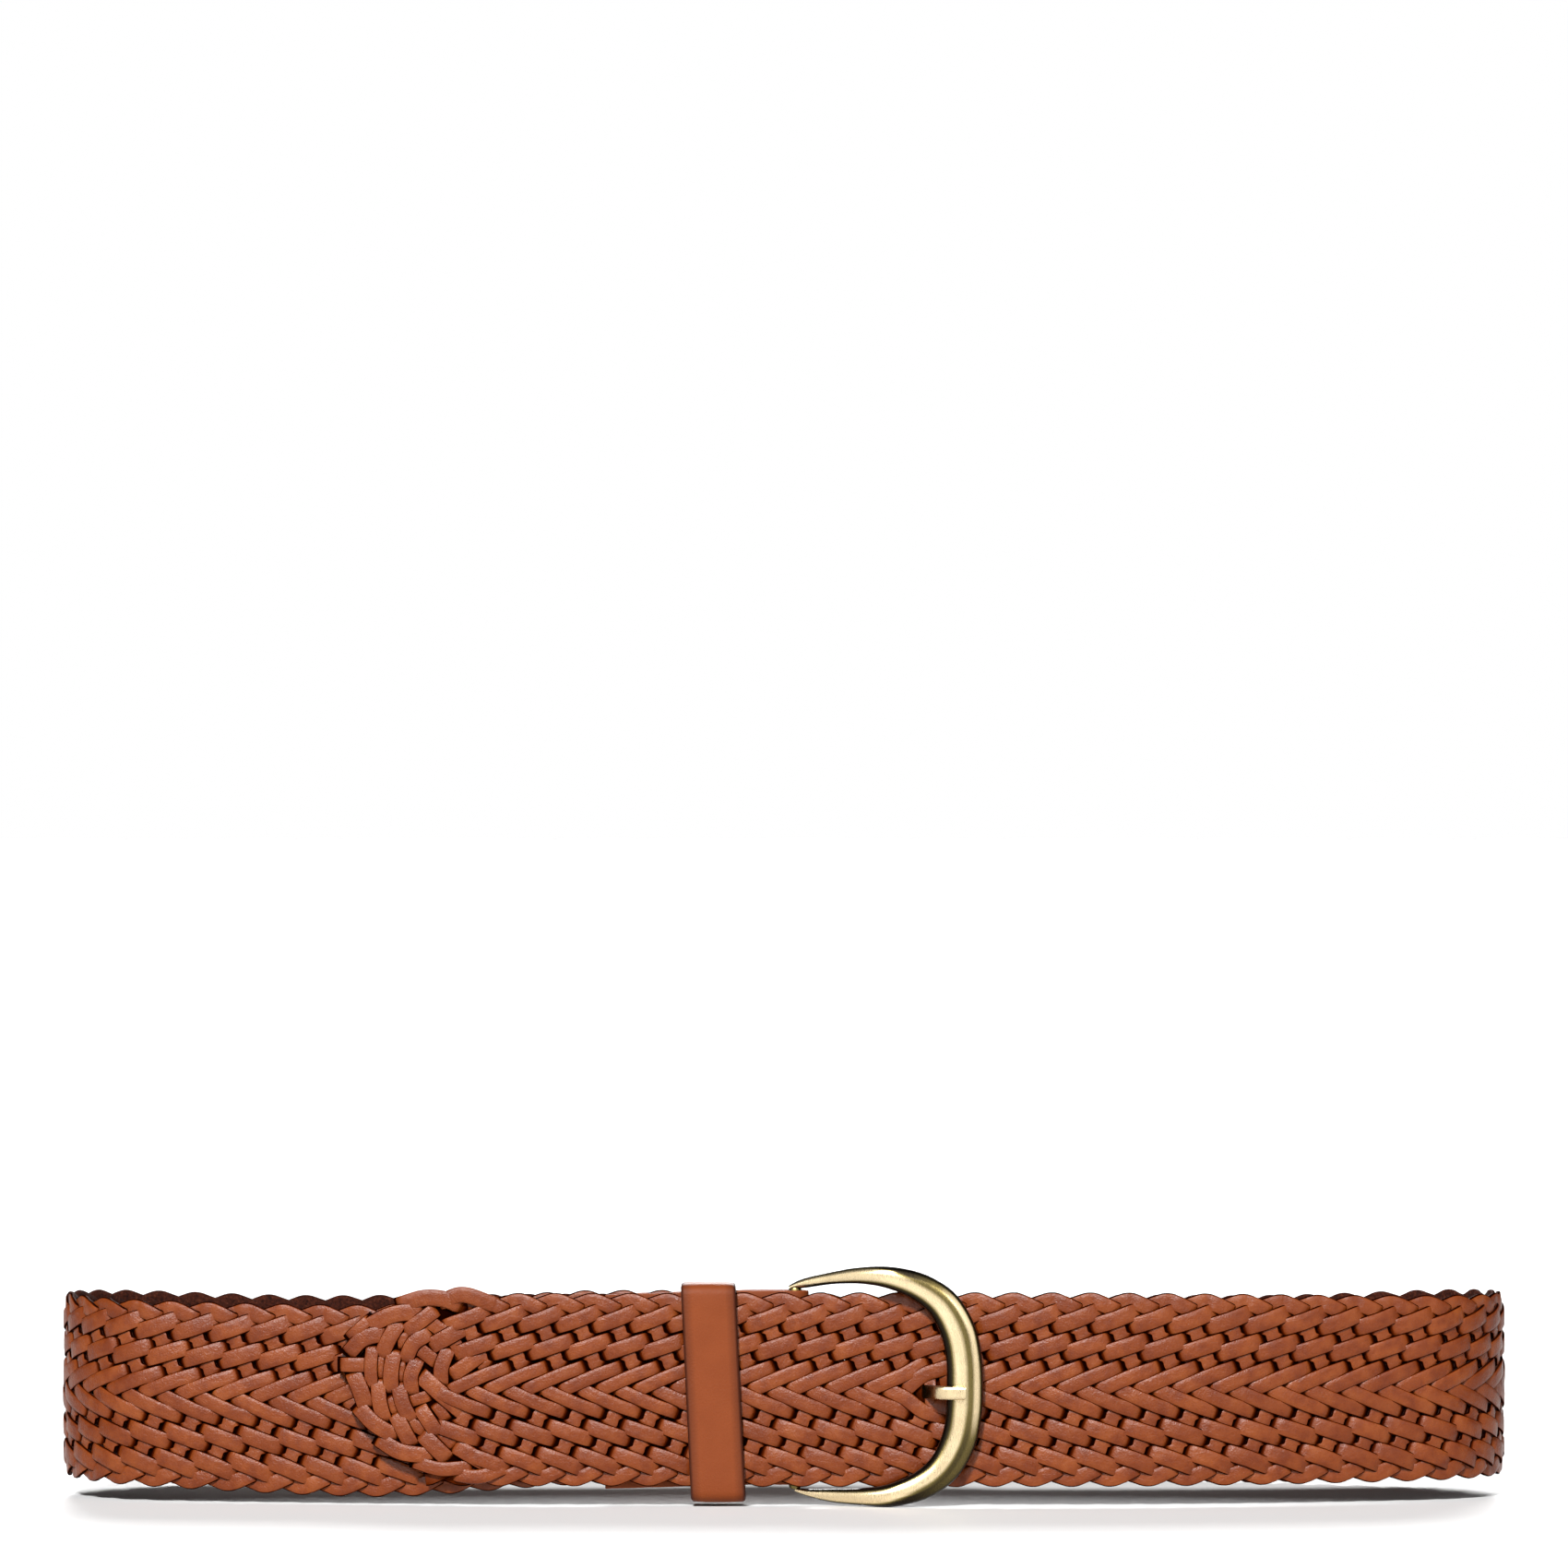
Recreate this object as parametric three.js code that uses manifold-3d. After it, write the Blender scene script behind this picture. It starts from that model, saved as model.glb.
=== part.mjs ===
// A wide braided leather belt, fastened into a flattened oval loop that stands on its edge.
// Millimetres, +Z up, +X along the belt, -Y towards the outside of the buckle.
// The braid is twenty-one flat thongs. Here each stretch of it is one solid of the braid's outer size.
import * as THREE from "three";
import { mergeVertices } from "three/addons/utils/BufferGeometryUtils.js";
import Module from "manifold-3d";

const manifold = await Module();
manifold.setup();

// ---- driving dimensions ----
const STRAP_WIDTH = 45;
const STRAP_THICK = 3.0;
const HALF_LENGTH = 170.6; // middle of the loop to the middle of the strap at either end
const FRONT_FLAT = 60; // half of the straight stretch at the front
const FRONT_TURN = 20; // degrees that the strap turns before each end bend
const BACK_TURN = 15; // degrees that half of the bowed back turns
const END_RADIUS = 32;
const TIP_REACH = 103.4; // middle of the front to the end of the tip
const TIP_ROUND = 19; // length of the rounded end of the tip
const TIP_RAISE = 3.2; // the tip's end lies this far above the middle of the strap
const TIP_HINGE = 34; // where the free tip starts to flex
const SEAM_GAP = 0.5;

const LEAF_THICK = 1.3; // chape leather
const CHAPE_REACH = 42;
const CHAPE_WIDTH = 45.6;
const CHAPE_BOTTOM = 4.8;
const CHAPE_GAP = 3.8; // room between the two leaves of the chape
const LAYER_GAP = 0.7; // tip strap to chape
const BRAID_END = 14; // where the braid ends inside the chape
const CORE_THICK = 3.2;

const BAR_X = 2.6;
const BAR_RADIUS = 1.5;
const BUCKLE_CENTRE_Z = 28.25;
const RIM_DEPTH = 4.2;
const RIM_GAP = 0.3;
const PRONG_WIDTH = 3.6;
const PRONG_THICK = 2.0;
const PRONG_Z = 26.9;
const PRONG_END_X = 42.5;
const SLOT_CLEARANCE = 1.0;
const SLOT_END = 37.5;

const KEEPER_LENGTH = 12.2;
const KEEPER_X = -16.3;
const KEEPER_THICK = 1.6;
const KEEPER_BOTTOM = 1.1;
const KEEPER_TOP = 52.1;
const KEEPER_LEAN = -0.048; // sideways lean per unit of height
const KEEPER_CORNER = 2.6;

const THREAD = 0.5;
const STITCH_PITCH = 3.6;
const STITCH_MARGIN = 2.5;

// Depth of each layer at the buckle, from the middle of the tip strap.
const tipBack = STRAP_THICK / 2;
const chapeFront = tipBack + LAYER_GAP;
const barY = chapeFront + LEAF_THICK + CHAPE_GAP / 2;
const chapeBack = barY + CHAPE_GAP / 2 + LEAF_THICK;
const rimY = -STRAP_THICK / 2 - RIM_GAP - RIM_DEPTH / 2;

// ---- the loop in plan ----
const rad = THREE.MathUtils.degToRad;
const bendX = HALF_LENGTH - END_RADIUS * (1 - Math.sin(rad(FRONT_TURN)));
const frontRadius = (bendX - FRONT_FLAT) / Math.sin(rad(FRONT_TURN));
const backX = bendX - END_RADIUS * (Math.sin(rad(FRONT_TURN)) - Math.sin(rad(BACK_TURN)));
const backRadius = backX / Math.sin(rad(BACK_TURN));
const endTurn = 180 - FRONT_TURN - BACK_TURN;

function arc(radius, turn) {
  return { length: radius * rad(turn), turn: rad(turn) };
}

// From the middle of the front towards -X, round the back and home again.
const LOOP = [
  { length: FRONT_FLAT, turn: 0 },
  arc(frontRadius, FRONT_TURN),
  arc(END_RADIUS, endTurn),
  arc(backRadius, 2 * BACK_TURN),
  arc(END_RADIUS, endTurn),
  arc(frontRadius, FRONT_TURN),
  { length: FRONT_FLAT, turn: 0 },
];
const GIRTH = LOOP.reduce((sum, piece) => sum + piece.length, 0);

// The loop's point at distance s, moved outwards from the loop by out.
function loopPoint(s, out) {
  let left = THREE.MathUtils.euclideanModulo(s, GIRTH);
  let heading = Math.PI;
  const at = new THREE.Vector2(0, 0);
  for (const piece of LOOP) {
    const run = Math.min(left, piece.length);
    const turn = (piece.turn * run) / piece.length;
    const chord = turn > 0 ? (run * Math.sin(turn / 2)) / (turn / 2) : run;
    const along = heading - turn / 2;
    at.x += chord * Math.cos(along);
    at.y += chord * Math.sin(along);
    heading -= turn;
    left -= run;
    if (left <= 0) break;
  }
  at.x -= Math.sin(heading) * out;
  at.y += Math.cos(heading) * out;
  return at;
}

// A smooth run through [distance, value] pairs.
function eased(pairs, s) {
  let value = pairs[0][1];
  for (let i = 1; i < pairs.length; i++) {
    const [from, before] = pairs[i - 1];
    const [to, after] = pairs[i];
    if (s >= from) value = before + (after - before) * THREE.MathUtils.smoothstep(s, from, to);
  }
  return value;
}

// How far the strap lies inside the loop's own line: it starts under the chape and joins the outside.
const INSET = [
  [CHAPE_REACH, barY],
  [58, 4.2],
  [108, 4.2],
  [165, 0],
];
// Height of the strap's lower edge above the surface that the belt stands on.
const LIFT = [
  [CHAPE_REACH, CHAPE_BOTTOM + 0.3],
  [100, 1.8],
  [190, 2.6],
  [275, 0],
  [GIRTH - 275, 0],
  [GIRTH - 190, 2.6],
  [GIRTH - 60, 4.8],
];

// Bends a solid whose x is distance along the strap, y is outwards and z is height.
function bend(geometry) {
  const p = geometry.getAttribute("position");
  for (let i = 0; i < p.count; i++) {
    const s = p.getX(i);
    const at = loopPoint(s, p.getY(i) - eased(INSET, s));
    p.setXYZ(i, at.x, at.y, p.getZ(i) + eased(LIFT, s));
  }
  return geometry;
}

function strapStretch(from, to, steps) {
  const box = new THREE.BoxGeometry(to - from, STRAP_THICK, STRAP_WIDTH, steps, 1, 1);
  return box.translate((from + to) / 2, 0, STRAP_WIDTH / 2);
}

// ---- booleans ----
function toSolid(geometry) {
  const plain = geometry.index ? geometry.toNonIndexed() : geometry.clone();
  plain.deleteAttribute("normal");
  plain.deleteAttribute("uv");
  const merged = mergeVertices(plain, 1e-3);
  return new manifold.Manifold(
    new manifold.Mesh({
      numProp: 3,
      vertProperties: merged.getAttribute("position").array,
      triVerts: new Uint32Array(merged.index.array),
    }),
  );
}

function toGeometry(solid) {
  const mesh = solid.getMesh();
  const geometry = new THREE.BufferGeometry();
  geometry.setAttribute("position", new THREE.BufferAttribute(mesh.vertProperties, mesh.numProp));
  geometry.setIndex(new THREE.BufferAttribute(mesh.triVerts, 1));
  geometry.computeVertexNormals();
  return geometry;
}

function block(low, high) {
  const size = new THREE.Vector3().subVectors(high, low);
  const middle = new THREE.Vector3().addVectors(high, low).multiplyScalar(0.5);
  return new THREE.BoxGeometry(size.x, size.y, size.z).translate(middle.x, middle.y, middle.z);
}

// ---- materials ----
function finish(color, roughness, metalness) {
  return new THREE.MeshStandardMaterial({ color, roughness, metalness });
}
const braidLeather = finish(0xa0552f, 0.45, 0);
const plainLeather = finish(0x9c4f2a, 0.5, 0);
const coreLeather = finish(0x5a3020, 0.8, 0);
const thread = finish(0x7a4024, 0.8, 0);
const agedBrass = finish(0x8c7a3e, 0.35, 1);
const steel = finish(0x9a9a98, 0.35, 1);

// ---- the strap ----
// The strap runs from inside the chape, round the loop and back over the front.
// It has a long slot beside the bar, where the prong comes up through the braid.
function braidedStrap() {
  const whole = toSolid(bend(strapStretch(BRAID_END, GIRTH + TIP_HINGE - SEAM_GAP / 2, 190)));
  const half = (PRONG_WIDTH + SLOT_CLEARANCE) / 2;
  const slotLow = new THREE.Vector3(BAR_X, -STRAP_THICK, PRONG_Z - half);
  const slotHigh = new THREE.Vector3(SLOT_END, STRAP_THICK, PRONG_Z + half);
  return toGeometry(whole.subtract(toSolid(block(slotLow, slotHigh))));
}

// The free tip: its outline narrows to a rounded end.
function braidedTip() {
  const from = GIRTH + TIP_HINGE + SEAM_GAP / 2;
  const to = GIRTH + TIP_REACH;
  const geometry = strapStretch(from, to, 36);
  const p = geometry.getAttribute("position");
  const apex = STRAP_WIDTH / 2 + TIP_RAISE;
  for (let i = 0; i < p.count; i++) {
    const past = Math.max(0, p.getX(i) - (to - TIP_ROUND)) / TIP_ROUND;
    const narrow = Math.max(0.12, Math.sqrt(1 - Math.min(1, past * past)));
    p.setZ(i, apex + (p.getZ(i) - apex) * narrow);
  }
  return bend(geometry);
}

// ---- the chape ----
// A leather strip folded round the bar. Its leaves hold the end of the braid between them.
function chape() {
  const outer = barY - chapeFront;
  const inner = CHAPE_GAP / 2;
  const plan = new THREE.Shape();
  plan.moveTo(-CHAPE_REACH, chapeFront);
  plan.lineTo(BAR_X, chapeFront);
  plan.absarc(BAR_X, barY, outer, -Math.PI / 2, Math.PI / 2, false);
  plan.lineTo(-CHAPE_REACH, chapeBack);
  plan.lineTo(-CHAPE_REACH, chapeBack - LEAF_THICK);
  plan.lineTo(BAR_X, chapeBack - LEAF_THICK);
  plan.absarc(BAR_X, barY, inner, Math.PI / 2, -Math.PI / 2, true);
  plan.lineTo(-CHAPE_REACH, chapeFront + LEAF_THICK);
  const folded = new THREE.ExtrudeGeometry(plan, {
    depth: CHAPE_WIDTH,
    bevelEnabled: false,
    curveSegments: 10,
  }).translate(0, 0, CHAPE_BOTTOM);
  const half = (PRONG_WIDTH + SLOT_CLEARANCE) / 2;
  const slotLow = new THREE.Vector3(-3.5, chapeFront - 1, PRONG_Z - half);
  const slotHigh = new THREE.Vector3(BAR_X + outer + 1, chapeBack + 1, PRONG_Z + half);
  return toGeometry(toSolid(folded).subtract(toSolid(block(slotLow, slotHigh))));
}

// A leather filler between the leaves, from the end of the braid to the bar.
function chapeCore() {
  const low = new THREE.Vector3(-BRAID_END + 0.4, barY - CORE_THICK / 2, CHAPE_BOTTOM + 0.6);
  const high = new THREE.Vector3(-4.2, barY + CORE_THICK / 2, CHAPE_BOTTOM + CHAPE_WIDTH - 0.6);
  return block(low, high);
}

// One row of lock stitches, as the thread that shows on one face of the chape.
function stitchRow(x, y) {
  const bottom = CHAPE_BOTTOM + STITCH_MARGIN;
  const count = Math.floor((CHAPE_WIDTH - 2 * STITCH_MARGIN) / STITCH_PITCH);
  const profile = [new THREE.Vector2(0, 0)];
  for (let i = 0; i < count; i++) {
    profile.push(new THREE.Vector2(THREAD * 0.25, (i + 0.04) * STITCH_PITCH));
    profile.push(new THREE.Vector2(THREAD * 0.5, (i + 0.25) * STITCH_PITCH));
    profile.push(new THREE.Vector2(THREAD * 0.5, (i + 0.75) * STITCH_PITCH));
  }
  profile.push(new THREE.Vector2(THREAD * 0.25, count * STITCH_PITCH - 0.1));
  profile.push(new THREE.Vector2(0, count * STITCH_PITCH));
  const row = new THREE.LatheGeometry(profile, 6);
  return row.rotateX(Math.PI / 2).translate(x, y, bottom);
}

// ---- the keeper ----
function roundedRectangle(path, low, high, radius) {
  path.moveTo(low.x + radius, low.y);
  path.lineTo(high.x - radius, low.y);
  path.absarc(high.x - radius, low.y + radius, radius, -Math.PI / 2, 0, false);
  path.lineTo(high.x, high.y - radius);
  path.absarc(high.x - radius, high.y - radius, radius, 0, Math.PI / 2, false);
  path.lineTo(low.x + radius, high.y);
  path.absarc(low.x + radius, high.y - radius, radius, Math.PI / 2, Math.PI, false);
  path.lineTo(low.x, low.y + radius);
  path.absarc(low.x + radius, low.y + radius, radius, Math.PI, 1.5 * Math.PI, false);
  return path;
}

const keeperFront = -STRAP_THICK / 2 - 0.4 - KEEPER_THICK;
const keeperBack = chapeBack + THREAD + 0.5 + KEEPER_THICK;

// A closed leather band round all the layers, which leans a little along the belt.
function keeperBand() {
  const low = new THREE.Vector2(keeperFront, KEEPER_BOTTOM);
  const high = new THREE.Vector2(keeperBack, KEEPER_TOP);
  const wall = new THREE.Vector2(KEEPER_THICK, KEEPER_THICK);
  const section = roundedRectangle(new THREE.Shape(), low, high, KEEPER_CORNER);
  const innerLow = low.clone().add(wall);
  const innerHigh = high.clone().sub(wall);
  const inside = roundedRectangle(new THREE.Path(), innerLow, innerHigh, KEEPER_CORNER - KEEPER_THICK);
  section.holes.push(inside);
  const band = new THREE.ExtrudeGeometry(section, {
    depth: KEEPER_LENGTH,
    bevelEnabled: false,
    curveSegments: 5,
  });
  const along = new THREE.Matrix4().makeBasis(
    new THREE.Vector3(0, 1, 0),
    new THREE.Vector3(0, 0, 1),
    new THREE.Vector3(1, 0, 0),
  );
  band.applyMatrix4(along).translate(-KEEPER_LENGTH / 2, 0, 0);
  return lean(band);
}

function lean(geometry) {
  const p = geometry.getAttribute("position");
  const middle = (KEEPER_BOTTOM + KEEPER_TOP) / 2;
  for (let i = 0; i < p.count; i++) {
    p.setX(i, p.getX(i) + KEEPER_X + KEEPER_LEAN * (p.getZ(i) - middle));
  }
  return geometry;
}

// The wire staple that closes the band, on the side that faces the waist.
function keeperStaple() {
  const crown = new THREE.CapsuleGeometry(0.45, 7, 4, 8);
  const middle = (KEEPER_BOTTOM + KEEPER_TOP) / 2;
  return crown.rotateZ(Math.PI / 2).translate(KEEPER_X, keeperBack + 0.5, middle);
}

// ---- the buckle ----
// Matching points of the outer and inner edge, from the upper horn's tip to the middle of the rim.
const HORN = [
  { outer: [0.2, 24.5], inner: [1.2, 23.9], half: 1.1 },
  { outer: [4.6, 25.5], inner: [5.4, 23.9], half: 1.5 },
  { outer: [10.5, 26.9], inner: [11.5, 24.05], half: 1.8 },
  { outer: [18, 27.95], inner: [18.6, 23.9], half: 2.0 },
  { outer: [25.5, 28.25], inner: [24.8, 23.0], half: 2.1 },
  { outer: [33.5, 26.4], inner: [30.2, 20.9], half: 2.1 },
  { outer: [40.3, 21.8], inner: [34.4, 16.9], half: 2.1 },
  { outer: [44.9, 15.2], inner: [37.1, 11.6], half: 2.1 },
  { outer: [46.5, 7.6], inner: [38.2, 5.9], half: 2.1 },
];
const RIM = { outer: [46.8, 0], inner: [38.4, 0], half: RIM_DEPTH / 2 };
const RIM_RISE_FROM = 3;
const RIM_RISE_TO = 19;

function frameStations() {
  const mirrored = HORN.map((h) => ({
    outer: [h.outer[0], -h.outer[1]],
    inner: [h.inner[0], -h.inner[1]],
    half: h.half,
  }));
  return [...HORN, RIM, ...mirrored.reverse()];
}

function smooth(points) {
  return new THREE.CatmullRomCurve3(points, false, "centripetal");
}

// The horseshoe: a closed rod whose section follows the two edges, with its rim raised over the strap.
function buckleFrame() {
  const stations = frameStations();
  const outer = smooth(stations.map((h) => new THREE.Vector3(h.outer[0], h.half, h.outer[1])));
  const inner = smooth(stations.map((h) => new THREE.Vector3(h.inner[0], h.half, h.inner[1])));
  const rod = new THREE.CylinderGeometry(1, 1, 1, 14, 72);
  const p = rod.getAttribute("position");
  for (let i = 0; i < p.count; i++) {
    const t = THREE.MathUtils.clamp(0.5 - p.getY(i), 0, 1);
    const a = outer.getPoint(t);
    const b = inner.getPoint(t);
    const across = p.getX(i);
    const x = (a.x + b.x) / 2 + ((a.x - b.x) / 2) * across;
    const z = (a.z + b.z) / 2 + ((a.z - b.z) / 2) * across;
    const rise = THREE.MathUtils.smoothstep(x, RIM_RISE_FROM, RIM_RISE_TO);
    const y = THREE.MathUtils.lerp(barY, rimY, rise) - p.getZ(i) * a.y;
    p.setXYZ(i, x, y, BUCKLE_CENTRE_Z + z);
  }
  const bar = new THREE.CylinderGeometry(BAR_RADIUS, BAR_RADIUS, 49, 20);
  bar.rotateX(Math.PI / 2).translate(BAR_X, barY, BUCKLE_CENTRE_Z);
  return toGeometry(toSolid(rod).add(toSolid(bar)));
}

// The prong: an eye round the bar and an arm that rises through the braid onto the rim.
function prong() {
  const bottom = PRONG_Z - PRONG_WIDTH / 2;
  const eye = new THREE.Shape().absarc(BAR_X, barY, BAR_RADIUS + 1.4, 0, 2 * Math.PI, false);
  eye.holes.push(new THREE.Path().absarc(BAR_X, barY, BAR_RADIUS + 0.15, 0, 2 * Math.PI, true));
  const settings = { depth: PRONG_WIDTH, bevelEnabled: false, curveSegments: 24 };
  const ring = new THREE.ExtrudeGeometry(eye, settings).translate(0, 0, bottom);

  const low = barY - BAR_RADIUS - 0.2 - PRONG_THICK / 2 + 0.35;
  const high = rimY - RIM_DEPTH / 2 - RIM_GAP - PRONG_THICK / 2;
  const line = new THREE.CatmullRomCurve3(
    [
      new THREE.Vector3(BAR_X + 0.5, low, 0),
      new THREE.Vector3(14, low, 0),
      new THREE.Vector3(23, low - 0.4, 0),
      new THREE.Vector3(29, -2.6, 0),
      new THREE.Vector3(34, high + 0.6, 0),
      new THREE.Vector3(37.5, high, 0),
      new THREE.Vector3(PRONG_END_X, high, 0),
    ],
    false,
    "centripetal",
  );
  const steps = 26;
  const left = [];
  const right = [];
  for (let i = 0; i <= steps; i++) {
    const at = line.getPoint(i / steps);
    const way = line.getTangent(i / steps);
    const side = new THREE.Vector2(-way.y, way.x).multiplyScalar(PRONG_THICK / 2);
    left.push(new THREE.Vector2(at.x, at.y).add(side));
    right.push(new THREE.Vector2(at.x, at.y).sub(side));
  }
  const outline = new THREE.Shape([...right, ...left.reverse()]);
  const arm = new THREE.ExtrudeGeometry(outline, settings).translate(0, 0, bottom);
  const barRoom = new THREE.CylinderGeometry(BAR_RADIUS + 0.15, BAR_RADIUS + 0.15, 10, 24);
  barRoom.rotateX(Math.PI / 2).translate(BAR_X, barY, PRONG_Z);
  return toGeometry(toSolid(ring).add(toSolid(arm)).subtract(toSolid(barRoom)));
}

// ---- assembly ----
const belt = new THREE.Group();

function place(name, geometry, material) {
  const mesh = new THREE.Mesh(geometry, material);
  mesh.name = name;
  belt.add(mesh);
}

place("braided_strap", braidedStrap(), braidLeather);
place("braided_tip", braidedTip(), braidLeather);
place("chape", chape(), plainLeather);
place("chape_filler", chapeCore(), coreLeather);
const stitchX = { end: -CHAPE_REACH + 3, bar: -7 };
const stitchY = { front: chapeFront - THREAD / 2 - 0.06, back: chapeBack + THREAD / 2 + 0.06 };
for (const [row, x] of Object.entries(stitchX)) {
  for (const [face, y] of Object.entries(stitchY)) {
    place("chape_stitches_" + row + "_" + face, stitchRow(x, y), thread);
  }
}
place("keeper_band", keeperBand(), plainLeather);
place("keeper_staple", keeperStaple(), steel);
place("buckle_frame", buckleFrame(), agedBrass);
place("prong", prong(), agedBrass);

// The origin is under the middle of the loop, on the surface that the belt stands on.
const bounds = new THREE.Box3().setFromObject(belt);
const middle = bounds.getCenter(new THREE.Vector3());
belt.position.set(-middle.x, -middle.y, -bounds.min.z);

export default belt;
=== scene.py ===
"""Braided leather belt: the looks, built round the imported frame.

Lengths are in millimetres until a mesh is made."""

import math

import bpy
import numpy as np
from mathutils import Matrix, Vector


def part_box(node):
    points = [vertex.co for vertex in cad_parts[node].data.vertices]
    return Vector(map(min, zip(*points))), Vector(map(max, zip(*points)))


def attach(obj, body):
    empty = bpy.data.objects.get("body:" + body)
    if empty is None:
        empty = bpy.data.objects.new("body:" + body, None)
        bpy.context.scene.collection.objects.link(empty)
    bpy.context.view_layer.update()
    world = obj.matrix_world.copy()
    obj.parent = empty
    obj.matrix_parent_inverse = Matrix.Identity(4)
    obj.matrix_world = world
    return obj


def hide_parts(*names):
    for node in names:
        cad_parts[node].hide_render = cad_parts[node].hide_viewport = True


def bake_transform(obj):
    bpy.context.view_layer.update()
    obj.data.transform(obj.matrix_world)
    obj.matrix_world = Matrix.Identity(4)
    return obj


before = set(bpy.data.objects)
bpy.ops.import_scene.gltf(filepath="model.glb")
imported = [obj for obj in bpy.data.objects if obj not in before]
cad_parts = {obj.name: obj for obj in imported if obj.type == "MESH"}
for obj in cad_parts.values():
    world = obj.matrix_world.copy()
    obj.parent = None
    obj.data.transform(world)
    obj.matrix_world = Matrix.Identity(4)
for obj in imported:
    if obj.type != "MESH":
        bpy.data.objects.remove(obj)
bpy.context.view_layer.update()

MM = 0.001

# ---- sizes shared with the CAD part ----
STRAP_WIDTH = 45.0
STRAP_THICK = 3.0
HALF_LENGTH = 170.6
FRONT_FLAT = 60.0
FRONT_TURN = math.radians(20)
BACK_TURN = math.radians(15)
END_RADIUS = 32.0
CHAPE_REACH = 42.0
CHAPE_WIDTH = 45.6
CHAPE_BOTTOM = 4.8
LEAF_THICK = 1.3
CHAPE_GAP = 3.8
LAYER_GAP = 0.7
BRAID_END = 14.0
BAR_X = 2.6
BAR_RADIUS = 1.5
BUCKLE_Z = 28.25
RIM_DEPTH = 4.2
RIM_GAP = 0.3
PRONG_WIDTH = 3.6
PRONG_THICK = 2.0
PRONG_Z = 26.9
PRONG_END_X = 42.5
KEEPER_LENGTH = 12.2
KEEPER_X = -16.3
KEEPER_THICK = 1.6
KEEPER_BOTTOM = 1.1
KEEPER_TOP = 52.1
KEEPER_LEAN = -0.048

# ---- sizes of the looks alone ----
FRONT_LIFT = 4.8  # height of the strap's lower edge along the front
KEEPER_WIDER = 0.6
KEEPER_SHIFT = -0.3
KEEPER_CROWN = 0.16
KEEPER_EDGE = 0.75  # rounding of the band's long edges
KEEPER_CORNER = 1.7
KEEPER_CORNER_STEPS = 7
KEEPER_FRONT_GAP = 0.4
KEEPER_BACK_GAP = 1.0
HANG = 0.028  # how much lower the chape hangs for each millimetre towards its stitched end
HANG_FROM = -8.0
SLOT_START = -3.5
SLOT_CLEARANCE = 0.6
EYE_CLEARANCE = 0.15
EYE_THICK = 1.25

CHAPE_FRONT = STRAP_THICK / 2 + LAYER_GAP
BAR_Y = CHAPE_FRONT + LEAF_THICK + CHAPE_GAP / 2
CHAPE_BACK = BAR_Y + CHAPE_GAP / 2 + LEAF_THICK
RIM_Y = -STRAP_THICK / 2 - RIM_GAP - RIM_DEPTH / 2


def cad_origin():
    """Where the sizes' own origin, the middle of the tip strap over the floor, lies in the frame."""
    low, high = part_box("braided_strap")
    return np.array([(low.x + high.x) / 2, low.y + MM * STRAP_THICK / 2, low.z]) / MM


ORIGIN = cad_origin()


# ---- small helpers ----
def smoothstep(edge0, edge1, x):
    t = np.clip((np.asarray(x, float) - edge0) / (edge1 - edge0), 0, 1)
    return t * t * (3 - 2 * t)


def unit(v):
    return v / np.maximum(np.linalg.norm(v, axis=-1, keepdims=True), 1e-12)


def new_mesh(name, verts_mm, faces, materials, face_slots=None, attributes=None):
    """A smooth-shaded object from points in millimetres of the sizes' own frame and equal-sided faces."""
    mesh = bpy.data.meshes.new(name)
    verts = (np.asarray(verts_mm, float) + ORIGIN) * MM
    faces = np.asarray(faces, np.int32)
    count, sides = faces.shape
    mesh.vertices.add(len(verts))
    mesh.vertices.foreach_set("co", verts.astype(np.float32).ravel())
    mesh.loops.add(count * sides)
    mesh.loops.foreach_set("vertex_index", faces.ravel())
    mesh.polygons.add(count)
    mesh.polygons.foreach_set("loop_start", np.arange(0, count * sides, sides, dtype=np.int32))
    mesh.polygons.foreach_set("use_smooth", np.ones(count, bool))
    for material in materials:
        mesh.materials.append(material)
    if face_slots is not None:
        mesh.polygons.foreach_set("material_index", np.asarray(face_slots, np.int32))
    for key, values in (attributes or {}).items():
        layer = mesh.attributes.new(key, "FLOAT", "POINT")
        layer.data.foreach_set("value", np.asarray(values, np.float32))
    mesh.update(calc_edges=True)
    mesh.validate()
    obj = bpy.data.objects.new(name, mesh)
    bpy.context.scene.collection.objects.link(obj)
    return obj


def tube_faces(stations, ring, closed):
    """Quads of a tube of stations rings of ring points, joined end to end when closed."""
    rows = stations if closed else stations - 1
    i, j = np.meshgrid(np.arange(rows), np.arange(ring), indexing="ij")
    nxt = (i + 1) % stations
    side = (j + 1) % ring
    quads = np.stack([i * ring + j, nxt * ring + j, nxt * ring + side, i * ring + side], -1)
    return quads.reshape(-1, 4)


# ---- the loop in plan ----
BEND_X = HALF_LENGTH - END_RADIUS * (1 - math.sin(FRONT_TURN))
FRONT_RADIUS = (BEND_X - FRONT_FLAT) / math.sin(FRONT_TURN)
BACK_X = BEND_X - END_RADIUS * (math.sin(FRONT_TURN) - math.sin(BACK_TURN))
BACK_RADIUS = BACK_X / math.sin(BACK_TURN)
END_TURN = math.pi - FRONT_TURN - BACK_TURN
LOOP = [
    (FRONT_FLAT, 0.0),
    (FRONT_RADIUS * FRONT_TURN, FRONT_TURN),
    (END_RADIUS * END_TURN, END_TURN),
    (2 * BACK_RADIUS * BACK_TURN, 2 * BACK_TURN),
    (END_RADIUS * END_TURN, END_TURN),
    (FRONT_RADIUS * FRONT_TURN, FRONT_TURN),
    (FRONT_FLAT, 0.0),
]
GIRTH = sum(length for length, _ in LOOP)


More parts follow.
